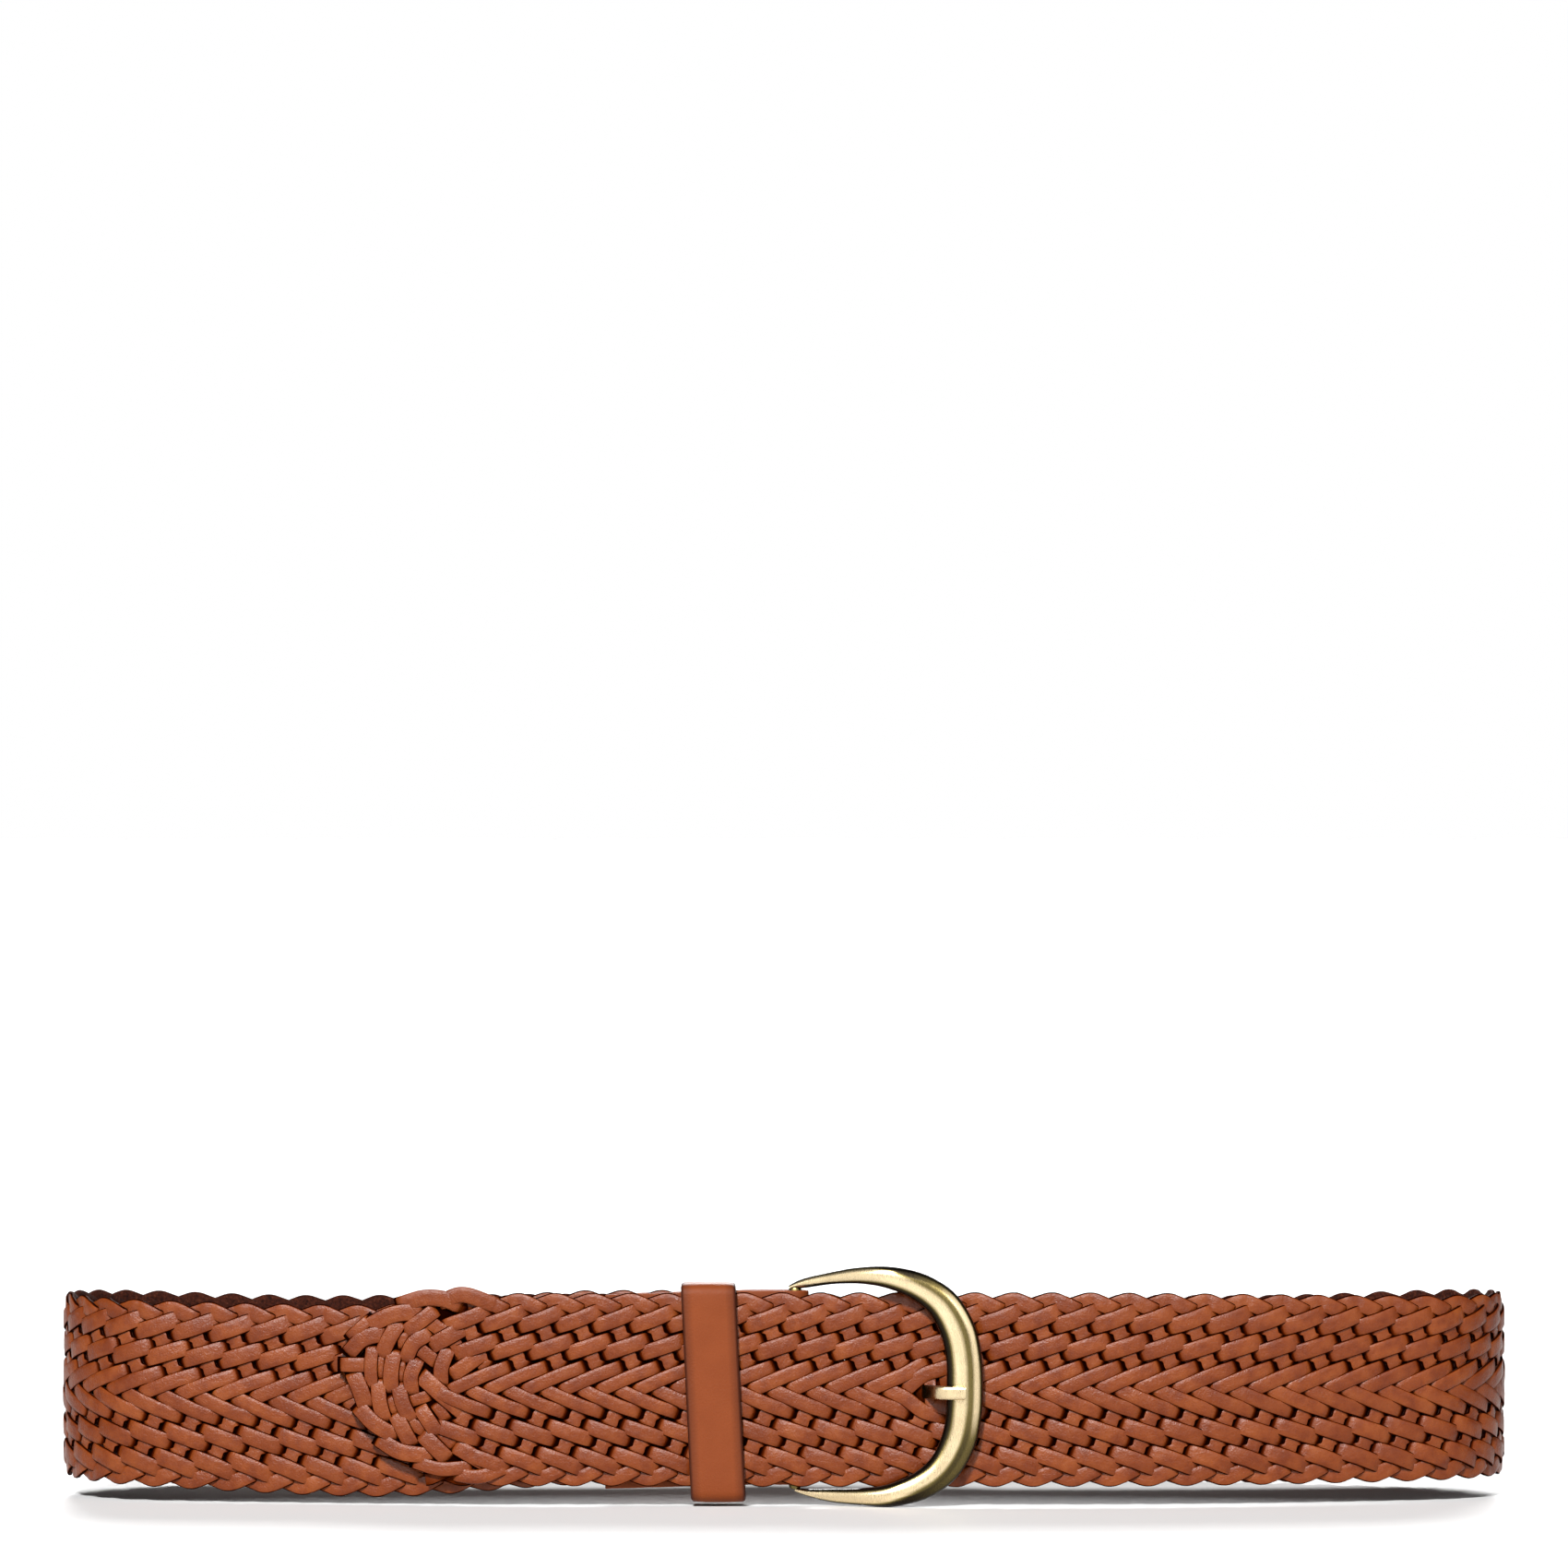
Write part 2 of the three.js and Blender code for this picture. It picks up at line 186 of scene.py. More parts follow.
def eased(pairs, s):
    """A smooth run through (distance, value) pairs."""
    s = np.asarray(s, float)
    value = np.full(s.shape, pairs[0][1], float)
    for (a, before), (b, after) in zip(pairs, pairs[1:]):
        value = np.where(s >= a, before + (after - before) * smoothstep(a, b, s), value)
    return value


INSET = [(CHAPE_REACH, BAR_Y), (58, 4.2), (108, 4.2), (165, 0)]
LIFT = [
    (CHAPE_REACH, CHAPE_BOTTOM + 0.3),
    (100, 1.8),
    (190, 3.8),
    (275, 0),
    (GIRTH - 275, 0),
    (GIRTH - 190, 4.1),
    (GIRTH - 60, FRONT_LIFT),
]
# The braid is drawn a little narrower where it goes round the two end bends.
NARROW = [(60, 1.0), (190, 0.952), (275, 1.0), (GIRTH - 275, 1.0), (GIRTH - 190, 0.945), (GIRTH - 60, 1.0)]


def loop_frame(s):
    """Plan point and outward direction of the strap at distances s from the middle of the front."""
    s = np.asarray(s, float)
    left = np.mod(s, GIRTH)
    heading = np.full(s.shape, math.pi)
    x = np.zeros(s.shape)
    y = np.zeros(s.shape)
    for length, turn in LOOP:
        run = np.clip(left, 0, length)
        bend = turn * run / length
        chord = run * np.sinc(bend / (2 * math.pi))
        x += chord * np.cos(heading - bend / 2)
        y += chord * np.sin(heading - bend / 2)
        heading = heading - bend
        left = left - run
    out = np.stack([-np.sin(heading), np.cos(heading), np.zeros(s.shape)], -1)
    inset = eased(INSET, s)
    return np.stack([x, y, eased(LIFT, s) + STRAP_WIDTH / 2], -1) - out * inset[..., None], out


def strap_point(s, v, out):
    """Point at distance s, height v from the strap's centre line, and out from its middle surface."""
    base, normal = loop_frame(s)
    point = base + normal * np.asarray(out, float)[..., None]
    point[..., 2] += v * eased(NARROW, s)
    return point, normal


# ---- materials ----
def node(tree, kind, **settings):
    made = tree.nodes.new(kind)
    for key, value in settings.items():
        setattr(made, key, value)
    return made


def base_material(name):
    material = bpy.data.materials.new(name)
    material.use_nodes = True
    tree = material.node_tree
    return material, tree, tree.nodes["Principled BSDF"]


def noise(tree, coords, scale, detail, stretch=None):
    vector = coords
    if stretch:
        mapping = node(tree, "ShaderNodeMapping")
        mapping.inputs["Scale"].default_value = stretch
        tree.links.new(coords, mapping.inputs["Vector"])
        vector = mapping.outputs["Vector"]
    made = node(tree, "ShaderNodeTexNoise")
    made.inputs["Scale"].default_value = scale
    made.inputs["Detail"].default_value = detail
    tree.links.new(vector, made.inputs["Vector"])
    return made.outputs["Fac"]


def ramp(tree, fac, stops):
    made = node(tree, "ShaderNodeValToRGB")
    elements = made.color_ramp.elements
    while len(elements) < len(stops):
        elements.new(0.5)
    for element, (place, colour) in zip(elements, stops):
        element.position = place
        element.color = (*colour, 1)
    tree.links.new(fac, made.inputs["Fac"])
    return made.outputs["Color"]


def mix(tree, kind, fac, a, b):
    """A colour mix: fac, a and b are each a number, a colour or another node's output."""
    made = node(tree, "ShaderNodeMix", data_type="RGBA", blend_type=kind)
    for target, value in ((made.inputs[0], fac), (made.inputs[6], a), (made.inputs[7], b)):
        if isinstance(value, (int, float)):
            target.default_value = value
        elif isinstance(value, tuple):
            target.default_value = (*value, 1)
        else:
            tree.links.new(value, target)
    return made.outputs[2]


def scaled(tree, fac, low, high):
    made = node(tree, "ShaderNodeMapRange")
    made.inputs["To Min"].default_value = low
    made.inputs["To Max"].default_value = high
    tree.links.new(fac, made.inputs["Value"])
    return made.outputs["Result"]


def bump(tree, shader, height, strength, distance, before=None):
    made = node(tree, "ShaderNodeBump")
    made.inputs["Strength"].default_value = strength
    made.inputs["Distance"].default_value = distance
    tree.links.new(height, made.inputs["Height"])
    if before:
        tree.links.new(before, made.inputs["Normal"])
    tree.links.new(made.outputs["Normal"], shader.inputs["Normal"])
    return made.outputs["Normal"]


TAN_LIGHT = (0.215, 0.050, 0.0085)
TAN_MIDDLE = (0.172, 0.034, 0.0045)
TAN_DARK = (0.120, 0.020, 0.0022)
# The next two colours are painted shade, where the thongs dive under each other and on their side faces.
SHADE_DARK = (0.035, 0.018, 0.010)
SHADE_MIDDLE = (0.36, 0.24, 0.18)
WHITE = (1, 1, 1)
FLESH_STOPS = [(0.3, (0.012, 0.002, 0.0008)), (0.6, (0.044, 0.009, 0.0035)), (0.8, (0.105, 0.030, 0.013))]
PLAIN_STOPS = [(0.3, (0.162, 0.034, 0.0075)), (0.7, (0.190, 0.042, 0.0100))]
PLAIN_EDGE = (0.045, 0.010, 0.004)
CORE_STOPS = [(0.3, (0.07, 0.025, 0.014)), (0.75, (0.16, 0.07, 0.04))]
# Brass colour from dark to bright: the dark end carries painted shade, the bright end a painted highlight
# as well as polish.
BRASS_STOPS = [(0.0, (0.022, 0.017, 0.011)), (0.45, (0.20, 0.155, 0.055)), (1.0, (0.84, 0.67, 0.41))]
BRASS_PATCHES = [(0.3, (0.72, 0.70, 0.66)), (0.7, WHITE)]
THREAD_STOPS = [(0.3, (0.12, 0.035, 0.014)), (0.7, (0.30, 0.10, 0.04))]
STEEL_STOPS = [(0.3, (0.42, 0.42, 0.41)), (0.7, (0.62, 0.62, 0.60))]


def thong_leather():
    """Grain side of the thongs, with painted shade where a thong dives under its neighbour and on its side
    faces.
    """
    material, tree, shader = base_material("thong_leather")
    coords = node(tree, "ShaderNodeTexCoord").outputs["Object"]
    tone = node(tree, "ShaderNodeAttribute", attribute_name="tone").outputs["Fac"]
    rise = node(tree, "ShaderNodeAttribute", attribute_name="rise").outputs["Fac"]
    mottled = noise(tree, coords, 260, 3)
    body = ramp(tree, mottled, [(0.30, TAN_DARK), (0.5, TAN_MIDDLE), (0.72, TAN_LIGHT)])
    toned = mix(tree, "MIX", scaled(tree, tone, 0.0, 0.45), body, TAN_DARK)
    # Painted shade: the colour darkens where the thong lies low, diving under its neighbour, and on its
    # side faces.
    crease_shade = ramp(tree, rise, [(0.38, SHADE_DARK), (0.64, SHADE_MIDDLE), (0.88, WHITE)])
    colour = mix(tree, "MULTIPLY", 1.0, toned, crease_shade)
    tree.links.new(colour, shader.inputs["Base Color"])
    grain = noise(tree, coords, 2600, 4)
    tree.links.new(scaled(tree, grain, 0.27, 0.37), shader.inputs["Roughness"])
    # Less shine in the same painted shade.
    tree.links.new(scaled(tree, rise, -0.50, 0.24), shader.inputs["Specular IOR Level"])
    first = bump(tree, shader, grain, 0.35, 0.0004)
    bump(tree, shader, noise(tree, coords, 700, 3), 0.25, 0.0006, first)
    return material


def flesh_leather():
    """Rough inner side of the thongs: dark maroon and almost without shine."""
    material, tree, shader = base_material("flesh_leather")
    coords = node(tree, "ShaderNodeTexCoord").outputs["Object"]
    fibres = noise(tree, coords, 1500, 6)
    tree.links.new(ramp(tree, fibres, FLESH_STOPS), shader.inputs["Base Color"])
    shader.inputs["Roughness"].default_value = 0.85
    shader.inputs["Specular IOR Level"].default_value = 0.08
    shader.inputs["Sheen Weight"].default_value = 0.02
    bump(tree, shader, fibres, 0.6, 0.0006)
    return material


def plain_leather():
    material, tree, shader = base_material("plain_leather")
    coords = node(tree, "ShaderNodeTexCoord").outputs["Object"]
    edge = node(tree, "ShaderNodeAttribute", attribute_name="edge").outputs["Fac"]
    soft = noise(tree, coords, 90, 3)
    colour = mix(tree, "MIX", edge, ramp(tree, soft, PLAIN_STOPS), PLAIN_EDGE)
    tree.links.new(colour, shader.inputs["Base Color"])
    grain = noise(tree, coords, 2400, 4)
    tree.links.new(scaled(tree, grain, 0.42, 0.60), shader.inputs["Roughness"])
    shader.inputs["Specular IOR Level"].default_value = 0.10
    bump(tree, shader, grain, 0.25, 0.0004)
    return material


def core_leather():
    material, tree, shader = base_material("core_leather")
    coords = node(tree, "ShaderNodeTexCoord").outputs["Object"]
    fibres = noise(tree, coords, 900, 5)
    tree.links.new(ramp(tree, fibres, CORE_STOPS), shader.inputs["Base Color"])
    shader.inputs["Roughness"].default_value = 0.9
    bump(tree, shader, fibres, 0.5, 0.0005)
    return material


def aged_brass():
    """Antique brass, brushed and polished on its crown, which also carries a painted highlight, with
    painted shade along both edges.
    """
    material, tree, shader = base_material("aged_brass")
    coords = node(tree, "ShaderNodeTexCoord").outputs["Object"]
    polish_and_painted_light = node(tree, "ShaderNodeAttribute", attribute_name="polish_and_painted_light").outputs["Fac"]
    patches = noise(tree, coords, 160, 4)
    brushed = noise(tree, coords, 900, 3, (6.0, 6.0, 0.5))
    body = ramp(tree, polish_and_painted_light, BRASS_STOPS)
    varied = mix(tree, "MULTIPLY", 0.5, body, ramp(tree, patches, BRASS_PATCHES))
    tree.links.new(varied, shader.inputs["Base Color"])
    shader.inputs["Metallic"].default_value = 1.0
    tree.links.new(scaled(tree, brushed, 0.20, 0.36), shader.inputs["Roughness"])
    bump(tree, shader, brushed, 0.10, 0.0002)
    return material


def thread_material():
    material, tree, shader = base_material("waxed_thread")
    coords = node(tree, "ShaderNodeTexCoord").outputs["Object"]
    twist = noise(tree, coords, 3000, 3, (1.0, 1.0, 3.0))
    tree.links.new(ramp(tree, twist, THREAD_STOPS), shader.inputs["Base Color"])
    shader.inputs["Roughness"].default_value = 0.55
    bump(tree, shader, twist, 0.5, 0.0003)
    return material


def steel_wire():
    material, tree, shader = base_material("steel_wire")
    coords = node(tree, "ShaderNodeTexCoord").outputs["Object"]
    marks = noise(tree, coords, 1200, 3)
    tree.links.new(ramp(tree, marks, STEEL_STOPS), shader.inputs["Base Color"])
    shader.inputs["Metallic"].default_value = 1.0
    tree.links.new(scaled(tree, marks, 0.22, 0.4), shader.inputs["Roughness"])
    return material


THONG = thong_leather()
FLESH = flesh_leather()
PLAIN = plain_leather()
CORE = core_leather()
BRASS = aged_brass()
THREAD = thread_material()
STEEL = steel_wire()

# ---- camera, floor and light ----
CAMERA_DISTANCE = 2500.0
CAMERA_HEIGHT = 169.4
VIEW_WIDTH = 367.7
SENSOR = 36.0
FLOOR_GREY = 0.64
FLOOR_REACH = 30.0  # metres
AIM_HEIGHT = 0.027  # metres over the floor, the middle of the belt


def make_camera():
    data = bpy.data.cameras.new("camera")
    data.sensor_width = SENSOR
    data.lens = SENSOR * CAMERA_DISTANCE / VIEW_WIDTH
    data.clip_end = 50
    camera = bpy.data.objects.new("camera", data)
    place = np.array([0, -STRAP_THICK / 2 - CAMERA_DISTANCE, CAMERA_HEIGHT]) + ORIGIN
    camera.location = Vector(place * MM)
    camera.rotation_euler = (math.pi / 2, 0, 0)
    bpy.context.scene.collection.objects.link(camera)
    bpy.context.scene.camera = camera


def make_stage():
    material, _, shader = base_material("white_floor")
    shader.inputs["Base Color"].default_value = (FLOOR_GREY, FLOOR_GREY, FLOOR_GREY, 1)
    shader.inputs["Roughness"].default_value = 0.55
    shader.inputs["Specular IOR Level"].default_value = 0.15
    mesh = bpy.data.meshes.new("floor")
    reach = FLOOR_REACH
    corners = [(-reach, -reach, 0), (reach, -reach, 0), (reach, reach, 0), (-reach, reach, 0)]
    mesh.from_pydata(corners, [], [(0, 1, 2, 3)])
    mesh.materials.append(material)
    floor = bpy.data.objects.new("floor", mesh)
    bpy.context.scene.collection.objects.link(floor)


def aim(light, azimuth, elevation, distance=2.0):
    """Puts a light at a bearing from the front, positive to the right, and turns it towards the belt."""
    turn, rise = math.radians(azimuth), math.radians(elevation)
    way = Vector((math.sin(turn) * math.cos(rise), -math.cos(turn) * math.cos(rise), math.sin(rise)))
    light.location = way * distance + Vector((0, 0, AIM_HEIGHT))
    light.rotation_euler = (-way).to_track_quat("-Z", "Y").to_euler()
    bpy.context.scene.collection.objects.link(light)


def sun(name, azimuth, elevation, strength, softness):
    data = bpy.data.lights.new(name, "SUN")
    data.energy = strength
    data.angle = math.radians(softness)
    aim(bpy.data.objects.new(name, data), azimuth, elevation)


def strip(name, azimuth, elevation, size, power):
    """A soft box that only shows in glossy reflections."""
    data = bpy.data.lights.new(name, "AREA")
    data.shape = "RECTANGLE"
    data.size, data.size_y = size
    data.energy = power
    light = bpy.data.objects.new(name, data)
    light.visible_diffuse = False
    aim(light, azimuth, elevation)


AMBIENT = 0.11


def make_lights():
    """A white surround, dimmer as a light than as a backdrop, a soft key light and reflection strips."""
    bpy.context.scene.view_settings.view_transform = "Standard"
    world = bpy.data.worlds.new("studio")
    world.use_nodes = True
    tree = world.node_tree
    background = tree.nodes["Background"]
    background.inputs["Color"].default_value = (1, 1, 1, 1)
    path = tree.nodes.new("ShaderNodeLightPath")
    tree.links.new(scaled(tree, path.outputs["Is Camera Ray"], AMBIENT, 1.0), background.inputs["Strength"])
    bpy.context.scene.world = world
    sun("key", -14, 39, 5.5, 8)
    sun("fill", 48, 24, 0.7, 50)
    sun("back", 176, 27, 2.8, 30)
    strip("strip_front", -8, 21, (2.4, 0.18), 26)
    strip("strip_left", -55, 12, (1.2, 1.4), 5)
    strip("strip_top", 0, 48, (1.8, 0.7), 6)


# ---- the braid ----
STRANDS = 21
PITCH = 8.75
ROW = STRAP_WIDTH / STRANDS
CYCLE = 2 * STRANDS
CODE = "ouuouuouuuooouoouoou"  # over or under at each crossing, from one edge to the other
THONG_THICK = 1.15
HALF_WIDTH = {1: 1.80, 2: 1.96, 3: 1.70}  # half a thong's width on a run of so many crossings
LAYER = {1: 0.36, 2: 0.40, 3: 0.46}  # height of each run's ends
CROWN = {1: 0.06, 2: 0.60, 3: 0.62}  # how much higher its middle is
DIVE = 0.30  # half the length, in crossings, in which a thong passes from over to under
SLACK = 0.034  # the braid is drawn out a little on the buckle's side of the front
SLACK_FROM = -25.0
SLACK_WIDENS = 2.4  # thongs widen by this much of the slack, so that no gap opens
SHEAR_ROUND = 2.0
SHEAR = 0.30  # how far a crossing lies back for each millimetre from the middle line
JOG_ROWS = (4, 7, 14, 17)
JOG = 0.76
JOG_SHARP = 0.11
JOG_REACH = 1.5
EDGE_RUN = 0.35  # where the run at a strap edge starts, in crossings
EDGE_ROUND = 1.2
EDGE_TRIM = 0.55
WAY_REACH = 1.3  # length over which a thong's direction is averaged
SAMPLES = (0.0, 0.06, 0.13, 0.22, 0.34, 0.45, 0.55, 0.66, 0.78, 0.87, 0.94)
SECTION = np.array(
    [
        (1.0, 0.0),
        (0.965, 0.62),
        (0.83, 0.94),
        (0.34, 1.02),
        (-0.34, 1.02),
        (-0.83, 0.94),
        (-0.965, 0.62),
        (-1.0, 0.0),
        (-0.95, -0.85),
        (-0.40, -1.0),
        (0.40, -1.0),
        (0.95, -0.85),
    ]
)
OUTER_FACES = 7
# How much painted shade the side faces of a thong get, and from where across the thong.
SIDE_SHADE = 0.85
SIDE_FROM = 0.96
EDGE_ZONE = (17.5, 20.5)  # distance from the middle line
EDGE_LIGHT = 0.75  # less painted shade on the thongs that turn at the strap's edges, which are in full view

TIP_CENTRE = 84.4
TIP_HEIGHT = 3.2
TIP_PHASE = 13.39  # row position of a rising thong at the tip's centre line
TIP_S = GIRTH + TIP_CENTRE


def runs_of(code):
    """Stretches of one side as (start, end, side), in crossings from an edge."""
    runs = []
    for k, letter in enumerate(code, start=1):
        side = 1 if letter == "o" else -1
        if runs and runs[-1][2] == side:
            runs[-1][1] = k + 0.5
        else:
            runs.append([k - 0.5, k + 0.5, side])
    return runs


def run_table(runs, length, step=0.02, wrap=True):
    """A thong's height over the strap's middle surface and half its width, along its runs."""
    q = np.arange(0, length, step)
    height = np.zeros(len(q))
    half = np.full(len(q), HALF_WIDTH[2])
    for start, end, side in runs:
        kind = int(np.clip(round(end - start), 1, 3))
        x = (q - (start + end) / 2) / ((end - start) / 2)
        inside = np.abs(x) <= 1
        height = np.where(inside, side * (LAYER[kind] + CROWN[kind] * (1 - x * x)), height)
        half = np.where(inside, HALF_WIDTH[kind], half)
    reach = int(round(DIVE / step))
    kernel = np.hanning(2 * reach + 3)[1:-1]
    kernel /= kernel.sum()
    mode = "wrap" if wrap else "edge"
    smooth = [np.convolve(np.pad(row, reach, mode=mode), kernel, mode="valid") for row in (height, half)]
    return q, *smooth


def cycle_runs():
    one_way = runs_of(CODE)
    one_way[0][0] = EDGE_RUN
    one_way[-1][1] = STRANDS - EDGE_RUN
    return one_way + [[a + STRANDS, b + STRANDS, side] for a, b, side in one_way]


TABLE_Q, TABLE_H, TABLE_W = run_table(cycle_runs(), CYCLE)


def braid_height(q):
    return np.interp(np.mod(q, CYCLE), TABLE_Q, TABLE_H, period=CYCLE)


def braid_half(q):
    return np.interp(np.mod(q, CYCLE), TABLE_Q, TABLE_W, period=CYCLE)


def braid_v(q):
    """Height across the strap at position q of a thong's zigzag, 0 at the lower edge, 21 at the upper.

    A thong runs shallow along its floats and steps steeply across at the single crossings between them."""
    phase = np.mod(q, CYCLE)
    row = np.minimum(phase, CYCLE - phase)
    from_high = (STRANDS - row) * ROW
    limit = STRAP_WIDTH / 2 - EDGE_TRIM
    low = np.sqrt((row * ROW) ** 2 + EDGE_ROUND**2) - limit
    high = limit - np.sqrt(from_high**2 + EDGE_ROUND**2)
    v = np.where(row < STRANDS / 2, low, high)
    for place in JOG_ROWS:
        t = row - place
        v = v + JOG * np.where(np.abs(t) < JOG_REACH, np.tanh(t / JOG_SHARP) - t / JOG_REACH, 0)
    return v


def braid_path(index, nominal):
    """Distance along the strap, height across it, height out of it and half width of thong index."""
    q = zigzag(index, nominal)
    v = braid_v(q)
    back = SHEAR * np.sqrt(v * v + SHEAR_ROUND)
    drawn_out = 1 + SLACK_WIDENS * SLACK * (nominal < GIRTH - SLACK_FROM)
    return nominal - back, v, braid_height(q), braid_half(q) * drawn_out


def zigzag(index, s):
    """Position of thong index in its zigzag at distance s. It rises as s falls."""
    return 2 * (TIP_S - s - SLACK * np.maximum(0, GIRTH - SLACK_FROM - s)) / PITCH + TIP_PHASE - 2 * index


PARTING_OPENS = (27.5, 34)
PARTING_CLOSES = (38, 46)
PARTING = 2.9
PARTING_REACH = 5.5


def part_for_prong(s, v):
    """The thongs part round the prong where it comes up through the braid."""
    along = GIRTH - s
    reach = smoothstep(*PARTING_OPENS, along) * (1 - smoothstep(*PARTING_CLOSES, along))
    off = v + STRAP_WIDTH / 2 + FRONT_LIFT - PRONG_Z
    side = np.where(off >= 0, 1.0, -1.0)
    return v + side * PARTING * reach * np.exp(-np.abs(off) / PARTING_REACH)


def softened(vectors, distance, reach):
    """Directions along a path averaged over reach, so that a sharp step doesn't fold a flat thong."""
    offsets = np.linspace(-reach, reach, 7)
    total = np.zeros_like(vectors)
    for offset in offsets:
        at = np.clip(distance + offset, distance[0], distance[-1])
        total += np.stack([np.interp(at, distance, vectors[:, k]) for k in range(3)], -1)
    return unit(total)


def thong_mesh(name, s, v, height, half, tone, materials=(THONG, FLESH)):
    """A flat thong swept along a path on the strap: s along it, v across it, height out of it."""
    centre, out = strap_point(s, v, height)
    step = np.linalg.norm(np.diff(centre, axis=0), axis=1)
    distance = np.concatenate([[0], np.cumsum(step)])
    along = unit(np.gradient(centre, axis=0))
    way = softened(along, distance, WAY_REACH)
    across = unit(np.cross(way, out))
    up = unit(np.cross(across, along))
    up = np.where((up * out).sum(-1, keepdims=True) < 0, -up, up)
    ring = len(SECTION)
    a = SECTION[None, :, 0] * np.broadcast_to(half, s.shape)[:, None]
    b = SECTION[:, 1] * THONG_THICK / 2
    points = centre[:, None] + across[:, None] * a[..., None] + up[:, None] * b[None, :, None]
    # rise: height out of the strap, lowered on the side faces, from which the thong material paints shade.
    rise = height[:, None] + b[None, :] - SIDE_SHADE * (np.abs(SECTION[None, :, 0]) > SIDE_FROM)
    rise = np.clip(rise + EDGE_LIGHT * smoothstep(*EDGE_ZONE, np.abs(v))[:, None], 0, 1)
    stations = len(s)
    faces = tube_faces(stations, ring, False)
    slots = np.where(np.arange(ring) < OUTER_FACES, 0, 1)
    slots = np.tile(slots, stations - 1)
    caps = cap_quads(0, ring) + cap_quads((stations - 1) * ring, ring, True)
    faces = np.vstack([faces, np.array(caps)])
    slots = np.concatenate([slots, np.ones(len(caps), int)])
    data = {"tone": np.full(stations * ring, tone), "rise": rise.ravel()}
    return new_mesh(name, points.reshape(-1, 3), faces, materials, slots, data)


def cap_quads(first, ring, flip=False):
    """Quads that close a ring of an even number of points."""
    quads = []
    for k in range(ring // 2 - 1):
        quad = [first + k, first + k + 1, first + (ring - 2 - k) % ring, first + (ring - 1 - k) % ring]
        quads.append(quad if flip else quad[::-1])
    return quads


FINE_STEP = 0.05


def path_samples(index, start, end):
    """Distances along the strap from start to end, close together where thongs dive."""
    fine = np.arange(start, end, FINE_STEP)
    q = zigzag(index, fine)
    steps = np.arange(math.floor(q.min()) - 1, math.ceil(q.max()) + 2)
    wanted = (steps[:, None] + np.array(SAMPLES)[None, :]).ravel()
    wanted = wanted[(wanted >= q.min()) & (wanted <= q.max())]
    return np.sort(np.interp(wanted, q[::-1], fine[::-1]))


def thong_stretch(index, start, end, label):
    """Thong index between two distances along the strap."""
    s, v, height, half = braid_path(index, path_samples(index, start, end))
    keep = s > BRAID_END
    s, v, height, half = (part[keep] for part in (s, v, height, half))
    v = part_for_prong(s, v)
    return thong_mesh(f"{label}_{index + 1:02d}", s, v, height, half, TONES[index])


rng = np.random.default_rng(21)
TONES = rng.uniform(0.0, 1.0, STRANDS)

# Distances along the strap where a thong passes from one moving stretch to the next.
SEAM_KEEPER = GIRTH + 16.0
SEAM_RIM = GIRTH - 42.6
SEAM_SIDE = GIRTH - 125.0
CUT_SEARCH = 9.0
CUT_DEPTH_COST = 6
CUT_AWAY_COST = 0.12


def hidden_cut(index, s):
    """The place nearest s where thong index lies under the others, so that a cut there can't be seen."""
    near = s + np.arange(-CUT_SEARCH, CUT_SEARCH, 0.1)
    depth = braid_height(zigzag(index, near))
    cost = depth * CUT_DEPTH_COST + np.abs(near - s) * CUT_AWAY_COST
    return float(near[np.argmin(cost)])


def make_strap():
    """The twenty-one thongs from the tip strap's keeper end round to the chape."""
    pieces = []
    for index in range(STRANDS):
        keeper_cut = hidden_cut(index, SEAM_KEEPER)
        rim_cut = hidden_cut(index, SEAM_RIM)
        side_cut = hidden_cut(index, SEAM_SIDE)
        back = thong_stretch(index, BRAID_END, side_cut, "thong_back")
        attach(back, "strap")
        side = thong_stretch(index, side_cut, rim_cut, "thong_side")
        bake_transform(side)
        front = thong_stretch(index, rim_cut, keeper_cut, "thong_front")
        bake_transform(front)
        pieces += [back, side, front]
    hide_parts("braided_strap")


# ---- the tip ----
# Visible lengths of the thongs that turn round the tip: (x, v) places along each, then its width.
RIM_FLOATS = [
    ([(-80.0, 20.7), (-75.6, 22.3), (-68.0, 20.0)], 3.4),
    ([(-76.3, -20.0), (-71.5, -20.4), (-66.0, -18.5)], 3.0),
    ([(-76.6, 20.0), (-79.5, 21.2), (-84.4, 21.5), (-89.6, 20.0)], 3.5),
    ([(-85.8, 17.9), (-88.5, 18.1), (-92.6, 17.3), (-97.2, 15.0)], 3.8),
    ([(-94.2, 12.9), (-96.6, 12.6), (-99.2, 11.6), (-101.9, 8.9)], 3.7),
    ([(-98.7, 5.7), (-103.4, 5.7)], 3.3),
    ([(-101.0, 3.2), (-99.6, 0.2), (-98.3, -3.6)], 3.9),
    ([(-99.6, -4.6), (-96.2, -8.0), (-91.6, -10.8)], 3.7),
    ([(-94.6, -12.0), (-90.2, -14.5), (-83.2, -15.6)], 3.7),
    ([(-86.0, -17.2), (-80.6, -18.6), (-74.2, -18.2)], 3.1),
    ([(-101.6, 12.6), (-98.0, 15.8)], 2.6),
]
